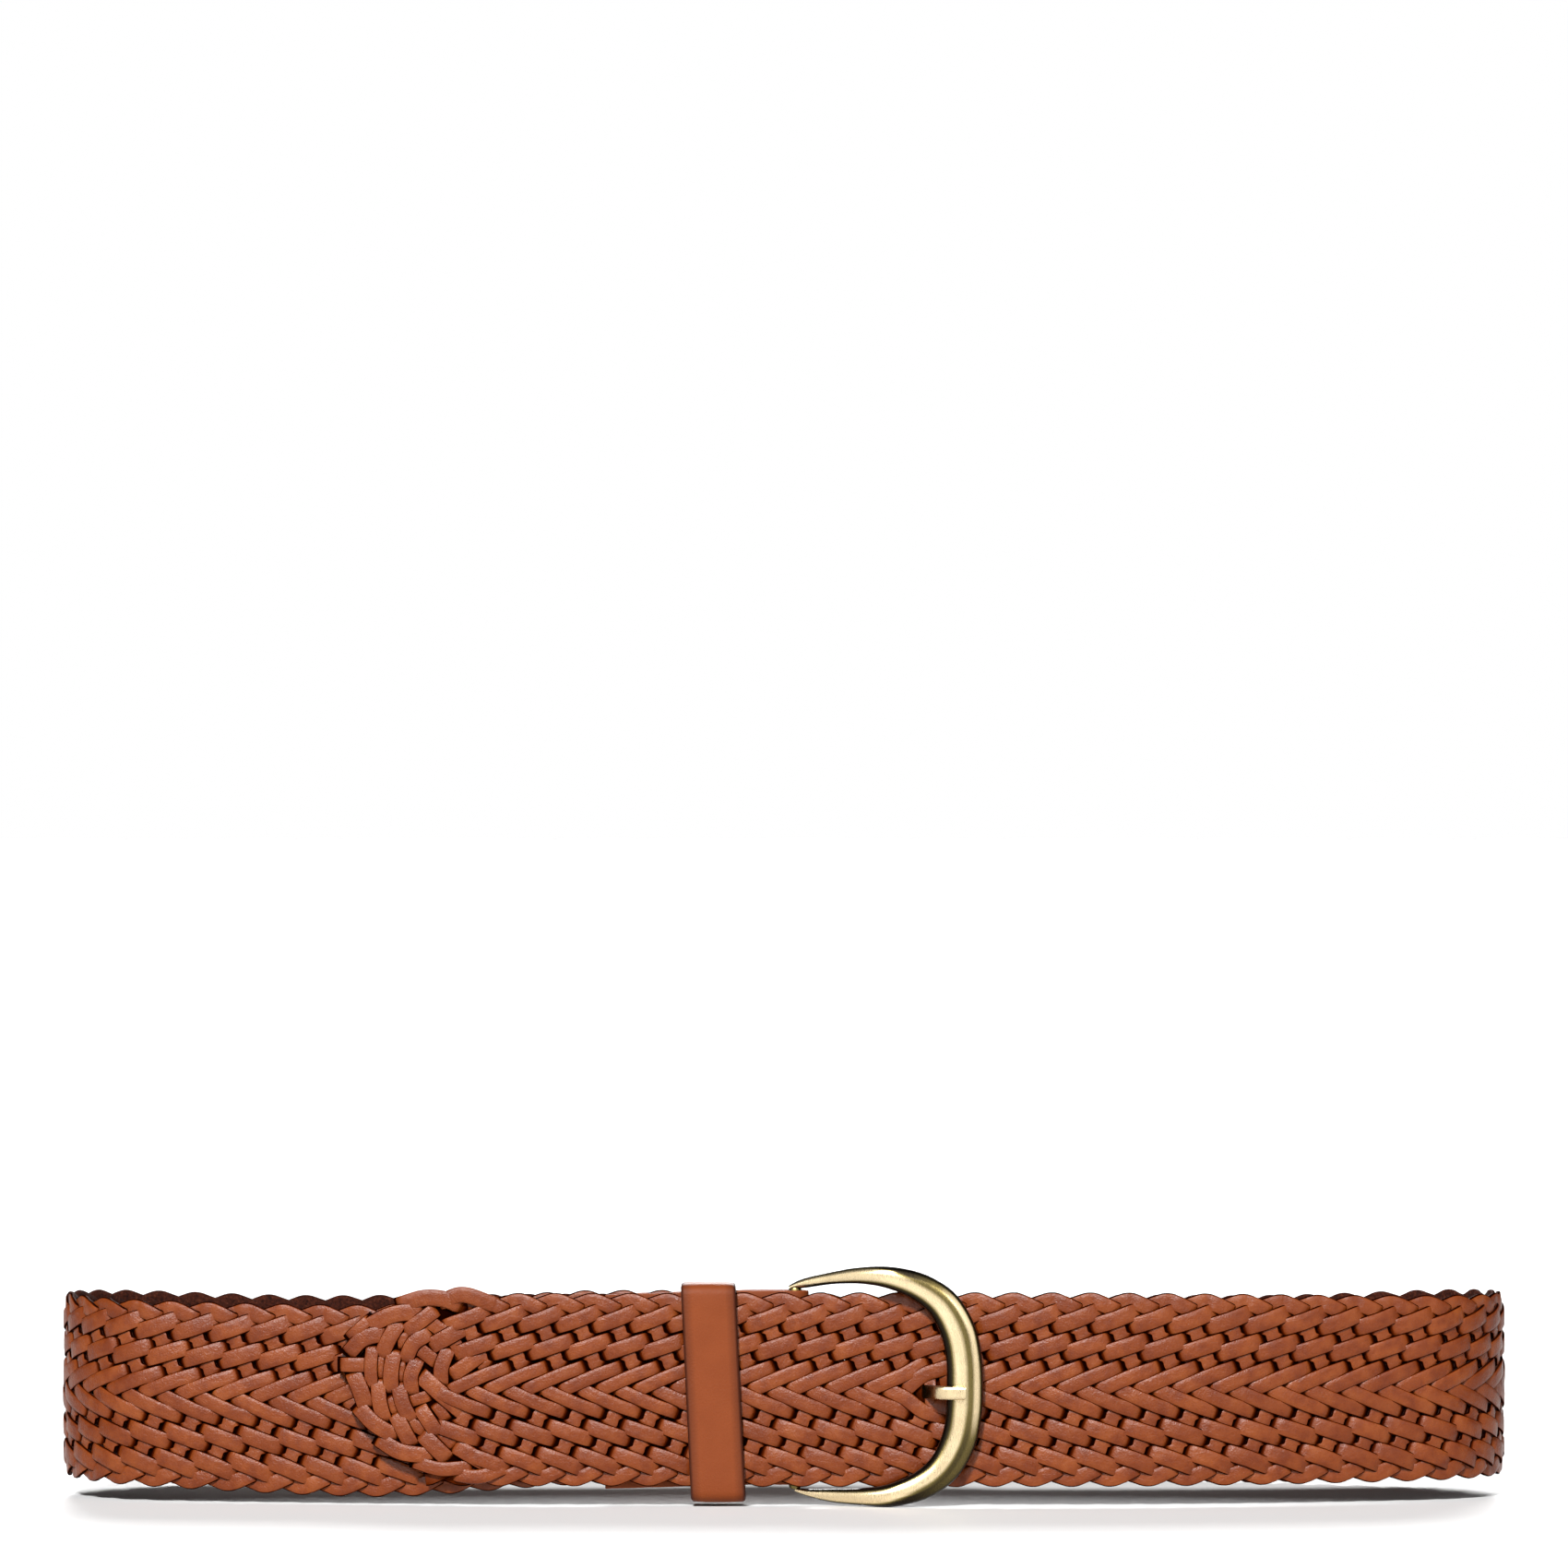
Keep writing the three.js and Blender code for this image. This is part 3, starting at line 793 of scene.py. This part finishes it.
TURN_FLOATS = [
    ([(-82.3, 10.5), (-75.6, 14.2)], 3.8),
    ([(-77.4, 3.7), (-71.2, 8.1)], 3.5),
    ([(-76.5, -13.5), (-70.5, -17.0)], 3.7),
    ([(-88.3, 13.8), (-82.4, 18.2)], 3.5),
    ([(-94.4, 8.2), (-92.6, 12.0), (-90.6, 15.3)], 3.6),
    ([(-88.7, 7.2), (-86.8, 10.9), (-83.6, 13.0)], 3.5),
    ([(-96.7, 9.3), (-97.0, 5.0), (-96.8, 1.0)], 3.0),
    ([(-91.5, 8.3), (-92.2, 4.2), (-92.2, 0.0)], 3.6),
    ([(-86.2, 6.5), (-87.5, 3.2), (-87.3, -0.4)], 3.4),
    ([(-78.9, 9.0), (-80.3, 5.2), (-80.4, 1.8)], 3.4),
    ([(-95.3, 1.4), (-94.9, -3.0), (-93.9, -6.8)], 3.5),
    ([(-90.4, 0.6), (-89.4, -3.4), (-87.7, -6.8)], 3.5),
    ([(-90.9, -6.4), (-87.6, -12.6)], 3.6),
    ([(-85.1, -4.7), (-81.5, -10.0)], 3.5),
    ([(-84.4, -10.9), (-79.4, -15.8)], 3.8),
    ([(-84.7, 2.9), (-80.4, -0.9), (-75.7, -4.9)], 3.9),
]
TURN_SQUARES = [
    ([(-77.3, 11.2), (-75.6, 8.4)], 3.0),
    ([(-80.2, -10.6), (-77.9, -12.6)], 2.9),
    ([(-83.4, 16.0), (-79.6, 13.4)], 3.3),
    ([(-89.4, 12.7), (-89.3, 10.3)], 2.6),
    ([(-85.4, 9.4), (-82.0, 6.8)], 3.2),
    ([(-95.0, 7.0), (-94.2, 3.4)], 2.2),
    ([(-89.9, 5.8), (-89.6, 2.6)], 2.2),
    ([(-92.5, -2.6), (-91.2, -4.8)], 2.4),
    ([(-87.2, -2.7), (-83.9, -1.6)], 2.7),
    ([(-87.6, -7.9), (-84.9, -9.4)], 2.9),
    ([(-81.4, -4.0), (-79.5, -6.6)], 2.6),
]
TIP_SEAM = GIRTH + 80.0
TIP_CLIP = 15.6  # the thongs beneath end at this distance from the tip's centre
TIP_REACH = 24
FLOAT_STEP = 0.35
TAIL = 1.9  # length of the tucked end of a visible length
TAIL_SUNK = 0.62  # share of each tail that lies sunk
FLOAT_KERNEL = 35
TIP_WIDER = 1.13
TIP_CROWN = {1: 0.05, 2: 0.44}
SUNK = -1.1  # height of the tucked ends of the visible lengths
PRESSED = (-0.62, 0.30)  # level and relief of the thongs that run on beneath the visible ones


def distances(path):
    return np.concatenate([[0], np.cumsum(np.linalg.norm(np.diff(path, axis=0), axis=1))])


def through(points):
    """A smooth path through two or more places, with a straight tail at both ends."""
    points = np.array(points, float)
    if len(points) > 2:
        points = catmull(points, 40)
    first = unit(points[0] - points[1]) * TAIL
    last = unit(points[-1] - points[-2]) * TAIL
    points = np.vstack([points[0] + first, points, points[-1] + last])
    d = distances(points)
    at = np.linspace(0, d[-1], int(d[-1] / FLOAT_STEP) + 2)
    return np.stack([np.interp(at, d, points[:, k]) for k in range(2)], -1), at


def float_height(d, kind, lift):
    """Height along one visible length, which dives at both ends."""
    fine = np.arange(-2 * TAIL, d[-1] + 2 * TAIL, FINE_STEP)
    x = (fine - d[-1] / 2) / (d[-1] / 2 - TAIL * TAIL_SUNK)
    over = LAYER[kind] + TIP_CROWN[kind] * (1 - x * x) + lift
    height = np.where(np.abs(x) <= 1, over, SUNK)
    kernel = np.hanning(FLOAT_KERNEL)[1:-1]
    kernel /= kernel.sum()
    padded = np.pad(height, len(kernel) // 2, mode="edge")
    return np.interp(d, fine, np.convolve(padded, kernel, mode="valid"))


def tip_outline(s, v):
    return np.hypot(np.maximum(0, s - TIP_S), v - TIP_HEIGHT)


def make_tip():
    pieces = []
    for index in range(STRANDS):
        start = hidden_cut(index, SEAM_KEEPER)
        press = hidden_cut(index, TIP_SEAM)
        nominal = path_samples(index, start, TIP_S + TIP_REACH)
        s, v, height, half = braid_path(index, nominal)
        under = smoothstep(press - 0.6, press + 0.6, nominal)
        height = height + (PRESSED[0] + PRESSED[1] * height - height) * under
        beyond = (s > TIP_S) & (tip_outline(s, v) > TIP_CLIP)
        end = np.argmax(beyond) if beyond.any() else len(s)
        keep = slice(0, max(end, 4))
        label = f"thong_tip_{index + 1:02d}"
        pieces.append(thong_mesh(label, s[keep], v[keep], height[keep], half[keep], TONES[index]))
    for label, floats, kind, lift in (
        ("rim", RIM_FLOATS, 2, 0.05),
        ("turn", TURN_FLOATS, 2, 0.0),
        ("square", TURN_SQUARES, 1, -0.05),
    ):
        for number, (places, width) in enumerate(floats, start=1):
            path, d = through(places)
            height = float_height(d, kind, lift)
            tone = TONES[(number * 5) % STRANDS]
            name = f"thong_{label}_{number:02d}"
            half = TIP_WIDER * width / 2
            pieces.append(thong_mesh(name, GIRTH - path[:, 0], path[:, 1], height, half, tone))
    for piece in pieces:
        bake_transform(piece)
    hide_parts("braided_tip")


# ---- plain leather pieces ----
def band_section(width, thick, crown, edge):
    """Section of a flat strip with round edges: (across, out) pairs, and how near each is to an edge."""
    arc = np.radians([90, 60, 30, 0, -30, -60, -90])
    right = [(width / 2 - edge + edge * math.cos(a), (thick / 2) * math.sin(a)) for a in arc]
    inner = [width * f for f in (0.3, 0.1, -0.1, -0.3)]
    lower = [(x, -thick / 2) for x in inner]
    upper = [(-x, thick / 2 + crown * (1 - (2 * x / width) ** 2)) for x in inner]
    left = [(-x, -y) for x, y in right]
    points = np.array(right + lower + left + upper)
    near = np.clip((np.abs(points[:, 0]) - (width / 2 - edge * 1.6)) / (edge * 1.2), 0, 1)
    return points, near


def rounded_path(low, high, radius, steps):
    """Closed path round a rounded rectangle, with its outward directions."""
    corners = [(high[0], low[1], -90), (high[0], high[1], 0), (low[0], high[1], 90), (low[0], low[1], 180)]
    points, normals = [], []
    for x, z, start in corners:
        cx = x - radius if x == high[0] else x + radius
        cz = z - radius if z == high[1] else z + radius
        for a in np.radians(np.linspace(start, start + 90, steps)):
            normals.append((math.cos(a), math.sin(a)))
            points.append((cx + radius * math.cos(a), cz + radius * math.sin(a)))
    return densified(np.array(points), np.array(normals), 3.0)


def densified(points, normals, longest):
    """Adds points to the long straight parts of a closed path."""
    out_p, out_n = [], []
    for k in range(len(points)):
        a, b = points[k], points[(k + 1) % len(points)]
        parts = max(1, int(np.linalg.norm(b - a) / longest))
        for t in np.arange(parts) / parts:
            out_p.append(a + (b - a) * t)
            normal = normals[k] * (1 - t) + normals[(k + 1) % len(points)] * t
            out_n.append(normal / np.linalg.norm(normal))
    return np.array(out_p), np.array(out_n)


def make_keeper():
    front = -STRAP_THICK / 2 - KEEPER_FRONT_GAP - KEEPER_THICK / 2
    back = CHAPE_BACK + KEEPER_BACK_GAP + KEEPER_THICK / 2
    low = (front, KEEPER_BOTTOM + KEEPER_THICK / 2)
    high = (back, KEEPER_TOP - KEEPER_THICK / 2)
    path, normals = rounded_path(low, high, KEEPER_CORNER, KEEPER_CORNER_STEPS)
    section, near = band_section(KEEPER_LENGTH + KEEPER_WIDER, KEEPER_THICK, KEEPER_CROWN, KEEPER_EDGE)
    ring = len(section)
    x = np.broadcast_to(section[None, :, 0], (len(path), ring))
    yz = path[:, None] + normals[:, None] * section[None, :, 1, None]
    points = np.stack([x, yz[..., 0], yz[..., 1]], -1).reshape(-1, 3)
    middle = (KEEPER_BOTTOM + KEEPER_TOP) / 2
    points[:, 0] += KEEPER_X + KEEPER_SHIFT + KEEPER_LEAN * (points[:, 2] - middle)
    faces = tube_faces(len(path), ring, True)
    band = new_mesh("keeper_loop", points, faces, [PLAIN], None, {"edge": np.tile(near, len(path))})
    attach(band, "keeper")
    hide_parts("keeper_band")
    return band


def chape_drop(x):
    """The chape hangs a little lower towards its stitched end."""
    return -HANG * np.maximum(0, HANG_FROM - x)


def make_chape():
    """Both leaves and the fold round the bar, with the prong's slot: a folded sheet made solid."""
    radius = CHAPE_GAP / 2 + LEAF_THICK / 2
    straight = np.linspace(-CHAPE_REACH, BAR_X, 24)
    arc = np.linspace(-math.pi / 2, math.pi / 2, 17)[1:-1]
    path = [(x, BAR_Y - radius) for x in straight]
    path += [(BAR_X + radius * math.cos(a), BAR_Y + radius * math.sin(a)) for a in arc]
    path += [(x, BAR_Y + radius) for x in straight[::-1]]
    path = np.array(path)
    half = PRONG_WIDTH / 2 + SLOT_CLEARANCE
    slot_low, slot_high = PRONG_Z - half, PRONG_Z + half
    top = CHAPE_BOTTOM + CHAPE_WIDTH
    heights = np.concatenate(
        [np.linspace(CHAPE_BOTTOM, slot_low, 12), [PRONG_Z], np.linspace(slot_high, top, 12)]
    )
    grid = np.stack(
        [
            np.repeat(path[:, 0], len(heights)),
            np.repeat(path[:, 1], len(heights)),
            np.tile(heights, len(path)),
        ],
        -1,
    )
    grid[:, 2] += chape_drop(grid[:, 0])
    faces = []
    rows = len(heights)
    for i in range(len(path) - 1):
        for j in range(rows - 1):
            middle_x = (path[i, 0] + path[i + 1, 0]) / 2
            in_slot = slot_low <= (heights[j] + heights[j + 1]) / 2 <= slot_high and middle_x > SLOT_START
            if not in_slot:
                faces.append([i * rows + j, (i + 1) * rows + j, (i + 1) * rows + j + 1, i * rows + j + 1])
    chape = new_mesh("chape_leather", grid, faces, [PLAIN])
    solid = chape.modifiers.new("thickness", "SOLIDIFY")
    solid.thickness = LEAF_THICK * MM
    solid.offset = 0
    solid.use_even_offset = True
    rounding = chape.modifiers.new("edges", "BEVEL")
    rounding.width = 0.35 * MM
    rounding.segments = 3
    rounding.limit_method = "ANGLE"
    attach(chape, "strap")
    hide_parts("chape")
    return chape


# ---- the buckle ----
TOP_TIP = [
    ((0.9, 23.1), (1.6, 22.4), 0.9),
    ((4.2, 24.8), (5.0, 22.7), 1.5),
    ((10.5, 26.5), (11.5, 23.7), 1.8),
]
BOTTOM_TIP = [
    ((2.3, 25.1), (3.0, 24.4), 0.9),
    ((5.0, 26.1), (5.8, 24.5), 1.4),
    ((10.5, 27.4), (11.5, 24.3), 1.8),
]
HORN = [
    ((18.0, 27.95), (18.6, 23.9), 2.0),
    ((25.5, 28.15), (24.4, 22.9), 2.1),
    ((33.5, 26.2), (30.2, 20.4), 2.1),
    ((40.1, 21.8), (34.2, 17.0), 2.1),
    ((44.6, 14.6), (36.9, 11.6), 2.1),
    ((46.2, 7.5), (38.0, 5.9), 2.1),
]
RIM = ((46.6, 0.0), (38.1, 0.0), RIM_DEPTH / 2)
RISE_FROM = 0.0
RISE_TO = 27.0
BAR_LOW = -24.6
BAR_HIGH = 23.2
BAR_WEAR = 0.4
EYE_WEAR = 0.5
OLIVE = 0.42  # polish of the olive line
RIDGE_HIGHLIGHT = 0.60  # painted highlight of the second bright line
UNLIT = 0.35  # share of both that stays on the lower half, which is painted in shade
FRAME_ROUND = 0.8


def catmull(points, count):
    """Centripetal spline through points, sampled evenly in its parameter."""
    p = np.array(points, float)
    p = np.vstack([2 * p[0] - p[1], p, 2 * p[-1] - p[-2]])
    result = []
    for u in np.linspace(0, len(p) - 3 - 1e-9, count):
        i = int(u)
        q = p[i : i + 4]
        t = np.concatenate([[0], np.cumsum(np.linalg.norm(np.diff(q[:, :2], axis=0), axis=1) ** 0.5)])
        x = t[1] + (u - i) * (t[2] - t[1])
        a = [((t[k + 1] - x) * q[k] + (x - t[k]) * q[k + 1]) / (t[k + 1] - t[k]) for k in range(3)]
        b = [((t[k + 2] - x) * a[k] + (x - t[k]) * a[k + 1]) / (t[k + 2] - t[k]) for k in range(2)]
        result.append(((t[2] - x) * b[0] + (x - t[1]) * b[1]) / (t[2] - t[1]))
    return np.array(result)


def rim_polish_and_painted_light(across, depth, middle):
    """How polished the brass is, with painted light: from the painted shade of the dark inner side over the
    bright crown, polished and with a painted highlight, to the outer edge.

    Round the right-hand end there is an olive line and a second, narrow bright line outside the crown, a
    painted highlight. Both are painted darker on the lower half, and the back of the frame is painted in
    shade."""
    crown = smoothstep(-0.74, -0.46, across) * (1 - smoothstep(-0.02, 0.14, across))
    olive = OLIVE * smoothstep(-0.05, 0.10, across) * (1 - smoothstep(0.78, 0.95, across))
    ridge_highlight = RIDGE_HIGHLIGHT * smoothstep(0.46, 0.56, across) * (1 - smoothstep(0.76, 0.92, across))
    outer = 0.92 - 0.55 * smoothstep(18, 32, middle[:, 0])[:, None]
    tip_crown = smoothstep(-0.75, -0.45, across) * (1 - smoothstep(outer - 0.3, outer, across))
    end = smoothstep(30, 41, middle[:, 0])[:, None]
    # Painted shade: the olive line and the bright line are drawn darker on the lower half.
    lit = (1 - smoothstep(4, 14, -middle[:, 1]))[:, None]
    at_end = crown + (olive + ridge_highlight * end) * (UNLIT + (1 - UNLIT) * lit)
    polish_and_painted_light = tip_crown + (at_end - tip_crown) * smoothstep(28, 39, middle[:, 0])[:, None]
    # Painted shade on the back of the frame.
    front = smoothstep(-0.35, 0.35, depth)
    return np.clip(polish_and_painted_light * front, 0, 1)


def make_frame():
    lower = [((o[0], -o[1]), (i[0], -i[1]), h) for o, i, h in BOTTOM_TIP + HORN][::-1]
    stations = TOP_TIP + HORN + [RIM] + lower
    count, ring = 260, 36
    outer = catmull([(*o, h) for o, _, h in stations], count)
    inner = catmull([(*i, h) for _, i, h in stations], count)
    angle = np.linspace(0, 2 * math.pi, ring, endpoint=False)
    across = np.sign(np.cos(angle)) * np.abs(np.cos(angle)) ** FRAME_ROUND
    depth = np.sign(np.sin(angle)) * np.abs(np.sin(angle)) ** FRAME_ROUND
    middle = (outer + inner) / 2
    half = (outer - inner) / 2
    x = middle[:, None, 0] + half[:, None, 0] * across
    z = middle[:, None, 1] + half[:, None, 1] * across
    rise = smoothstep(RISE_FROM, RISE_TO, x)
    y = BAR_Y + (RIM_Y - BAR_Y) * rise - middle[:, None, 2] * depth
    points = np.stack([x, y, BUCKLE_Z + z], -1).reshape(-1, 3)
    faces = tube_faces(count, ring, False)
    caps = cap_quads(0, ring) + cap_quads((count - 1) * ring, ring, True)
    faces = np.vstack([faces, np.array(caps)])
    polish_and_painted_light = rim_polish_and_painted_light(across, depth, middle)
    horseshoe = new_mesh("buckle_horseshoe", points, faces, [BRASS], None, {"polish_and_painted_light": polish_and_painted_light.ravel()})
    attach(horseshoe, "buckle")
    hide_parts("buckle_frame")
    bar = swept_rod("buckle_bar", BAR_RADIUS, BAR_LOW, BAR_HIGH)
    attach(bar, "buckle")


def swept_rod(name, radius, low, high):
    """An upright round bar with softened ends."""
    ring = 32
    angle = np.linspace(0, 2 * math.pi, ring, endpoint=False)
    levels = [(low, 0.6), (low + 0.3, 0.88), (low + 0.8, 1.0)]
    levels += [(high - 0.8, 1.0), (high - 0.3, 0.88), (high, 0.6)]
    points = [
        (BAR_X + radius * r * math.cos(a), BAR_Y + radius * r * math.sin(a), BUCKLE_Z + z)
        for z, r in levels
        for a in angle
    ]
    faces = tube_faces(len(levels), ring, False)[:, ::-1]
    caps = cap_quads(0, ring, True) + cap_quads((len(levels) - 1) * ring, ring)
    faces = np.vstack([faces, np.array(caps)])
    return new_mesh(name, points, faces, [BRASS], None, {"polish_and_painted_light": np.full(len(points), BAR_WEAR)})


PRONG_LOW = BAR_Y - BAR_RADIUS - 0.2 - PRONG_THICK / 2 + 0.35
PRONG_HIGH = RIM_Y - RIM_DEPTH / 2 - RIM_GAP - PRONG_THICK / 2
PRONG_LINE = [
    (BAR_X + 0.5, PRONG_LOW, 0),
    (12.0, PRONG_LOW + 0.4, 0),
    (24.0, PRONG_LOW + 1.5, 0),
    (30.0, PRONG_LOW + 1.2, 0),
    (33.9, -1.4, 0),
    (36.3, PRONG_HIGH + 1.2, 0),
    (38.9, PRONG_HIGH, 0),
    (PRONG_END_X, PRONG_HIGH, 0),
]
PRONG_SHOWN = (35.0, 36.6)  # where the arm comes out of the braid; before it the brass is painted in shade, after it its polish starts
PRONG_NARROWS = (30, 35)
PRONG_NARROWER = 0.1
PRONG_TIP_ROUND = 0.35


def make_prong():
    """The eye round the bar, and the arm that rises through the braid and rests on the rim."""
    path = catmull(PRONG_LINE, 90)[:, :2]
    along = unit(np.gradient(path, axis=0))
    side = np.stack([along[:, 1], -along[:, 0]], -1)
    ring = 24
    angle = np.linspace(0, 2 * math.pi, ring, endpoint=False) + math.pi / ring
    a = np.sign(np.cos(angle)) * np.abs(np.cos(angle)) ** 0.45
    b = np.sign(np.sin(angle)) * np.abs(np.sin(angle)) ** 0.5
    end = distances(path)[-1] - distances(path)
    rounded = 0.88 + 0.12 * np.sqrt(np.clip(end / PRONG_TIP_ROUND, 0, 1))
    shrink = np.where(end < PRONG_TIP_ROUND, rounded, 1.0)
    half_z = PRONG_WIDTH / 2 * shrink * (1 - PRONG_NARROWER * smoothstep(*PRONG_NARROWS, path[:, 0]))
    half_t = PRONG_THICK / 2 * shrink
    xy = path[:, None] + side[:, None] * (b[None, :, None] * half_t[:, None, None])
    z = PRONG_Z + a[None, :] * half_z[:, None]
    points = np.concatenate([xy, z[..., None]], -1).reshape(-1, 3)
    faces = tube_faces(len(path), ring, False)
    caps = cap_quads(0, ring) + cap_quads((len(path) - 1) * ring, ring, True)
    shown = smoothstep(*PRONG_SHOWN, path[:, 0])
    # Painted shade on the arm's back face and where it lies in the braid.
    polish_and_painted_light = np.clip(0.55 + 0.5 * b, 0.1, 1)[None, :] * (0.15 + 0.85 * shown[:, None])
    faces = np.vstack([faces, np.array(caps)])
    arm = new_mesh("prong_arm", points, faces, [BRASS], None, {"polish_and_painted_light": polish_and_painted_light.ravel()})
    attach(arm, "prong")
    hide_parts("prong")
    eye = make_eye()
    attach(eye, "prong")


def make_eye():
    around, ring = 48, 16
    turn = np.linspace(0, 2 * math.pi, around, endpoint=False)
    angle = np.linspace(0, 2 * math.pi, ring, endpoint=False)
    a = np.sign(np.cos(angle)) * np.abs(np.cos(angle)) ** 0.5
    b = np.sign(np.sin(angle)) * np.abs(np.sin(angle)) ** 0.5
    radius = BAR_RADIUS + EYE_CLEARANCE + EYE_THICK / 2 + b * EYE_THICK / 2
    x = BAR_X + radius[None, :] * np.cos(turn)[:, None]
    y = BAR_Y + radius[None, :] * np.sin(turn)[:, None]
    z = np.broadcast_to(PRONG_Z + a * PRONG_WIDTH / 2, x.shape)
    points = np.stack([x, y, z], -1).reshape(-1, 3)
    polish_and_painted_light = np.full(len(points), EYE_WEAR)
    return new_mesh("prong_eye", points, tube_faces(around, ring, True), [BRASS], None, {"polish_and_painted_light": polish_and_painted_light})


# ---- stitches, filler and staple ----
STITCH_PITCH = 3.6
THREAD_THICK = 0.5
THREAD_BOW = 0.22
THREAD_SUNK = 0.12
STITCH_GAP = 0.35  # left free at each end of a stitch
STITCH_ROWS = {"end": -CHAPE_REACH + 3, "bar": -7.0}
STAPLE_HALF = 3.9
STAPLE_SUNK = 0.4
STAPLE_BOW = 0.75
STAPLE_RADIUS = 0.42


def bent_capsule(start, end, bulge, radius, ring=10, count=14):
    """A thread from start to end that bows out by bulge."""
    start, end, bulge = (np.array(p, float) for p in (start, end, bulge))
    t = np.linspace(0, 1, count)
    path = start + (end - start) * t[:, None] + bulge * np.sin(math.pi * t)[:, None]
    along = unit(np.gradient(path, axis=0))
    side = unit(np.cross(along, np.broadcast_to(bulge, along.shape)))
    up = np.cross(side, along)
    angle = np.linspace(0, 2 * math.pi, ring, endpoint=False)
    size = radius * np.clip(np.sqrt(1 - (2 * t - 1) ** 8), 0.3, 1)
    circle = side[:, None] * np.cos(angle)[None, :, None] + up[:, None] * np.sin(angle)[None, :, None]
    points = path[:, None] + circle * size[:, None, None]
    faces = tube_faces(count, ring, False)
    caps = cap_quads(0, ring) + cap_quads((count - 1) * ring, ring, True)
    return points.reshape(-1, 3), np.vstack([faces, np.array(caps)])


def joined(parts):
    points, faces, first = [], [], 0
    for p, f in parts:
        points.append(p)
        faces.append(f + first)
        first += len(p)
    return np.vstack(points), np.vstack(faces)


def make_stitches():
    faces = {"front": (CHAPE_FRONT, -1), "back": (CHAPE_BACK, 1)}
    bottom = CHAPE_BOTTOM + 2.5
    count = int((CHAPE_WIDTH - 5) / STITCH_PITCH)
    for row, x in STITCH_ROWS.items():
        for face, (y, way) in faces.items():
            parts = []
            for k in range(count):
                z = bottom + k * STITCH_PITCH + float(chape_drop(x))
                depth = y - way * THREAD_SUNK
                ends = ((x, depth, z + STITCH_GAP), (x, depth, z + STITCH_PITCH - STITCH_GAP))
                parts.append(bent_capsule(*ends, (0, way * THREAD_BOW, 0), THREAD_THICK / 2))
            stitches = new_mesh(f"stitches_{row}_{face}", *joined(parts), [THREAD])
            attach(stitches, "strap")
            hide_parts(f"chape_stitches_{row}_{face}")


def make_staple():
    back = CHAPE_BACK + KEEPER_BACK_GAP + KEEPER_THICK - STAPLE_SUNK
    middle = (KEEPER_BOTTOM + KEEPER_TOP) / 2
    ends = ((KEEPER_X - STAPLE_HALF, back, middle), (KEEPER_X + STAPLE_HALF, back, middle))
    points, faces = bent_capsule(*ends, (0, STAPLE_BOW, 0), STAPLE_RADIUS, 16, 40)
    staple = new_mesh("staple_wire", points, faces, [STEEL])
    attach(staple, "keeper")
    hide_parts("keeper_staple")


def dress_filler():
    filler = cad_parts["chape_filler"]
    filler.data.materials.clear()
    filler.data.materials.append(CORE)
    soften = filler.modifiers.new("edges", "BEVEL")
    soften.width = 0.3 * MM
    soften.segments = 2


make_camera()
make_stage()
make_lights()
make_strap()
make_tip()
make_keeper()
make_chape()
make_frame()
make_prong()
make_stitches()
make_staple()
dress_filler()
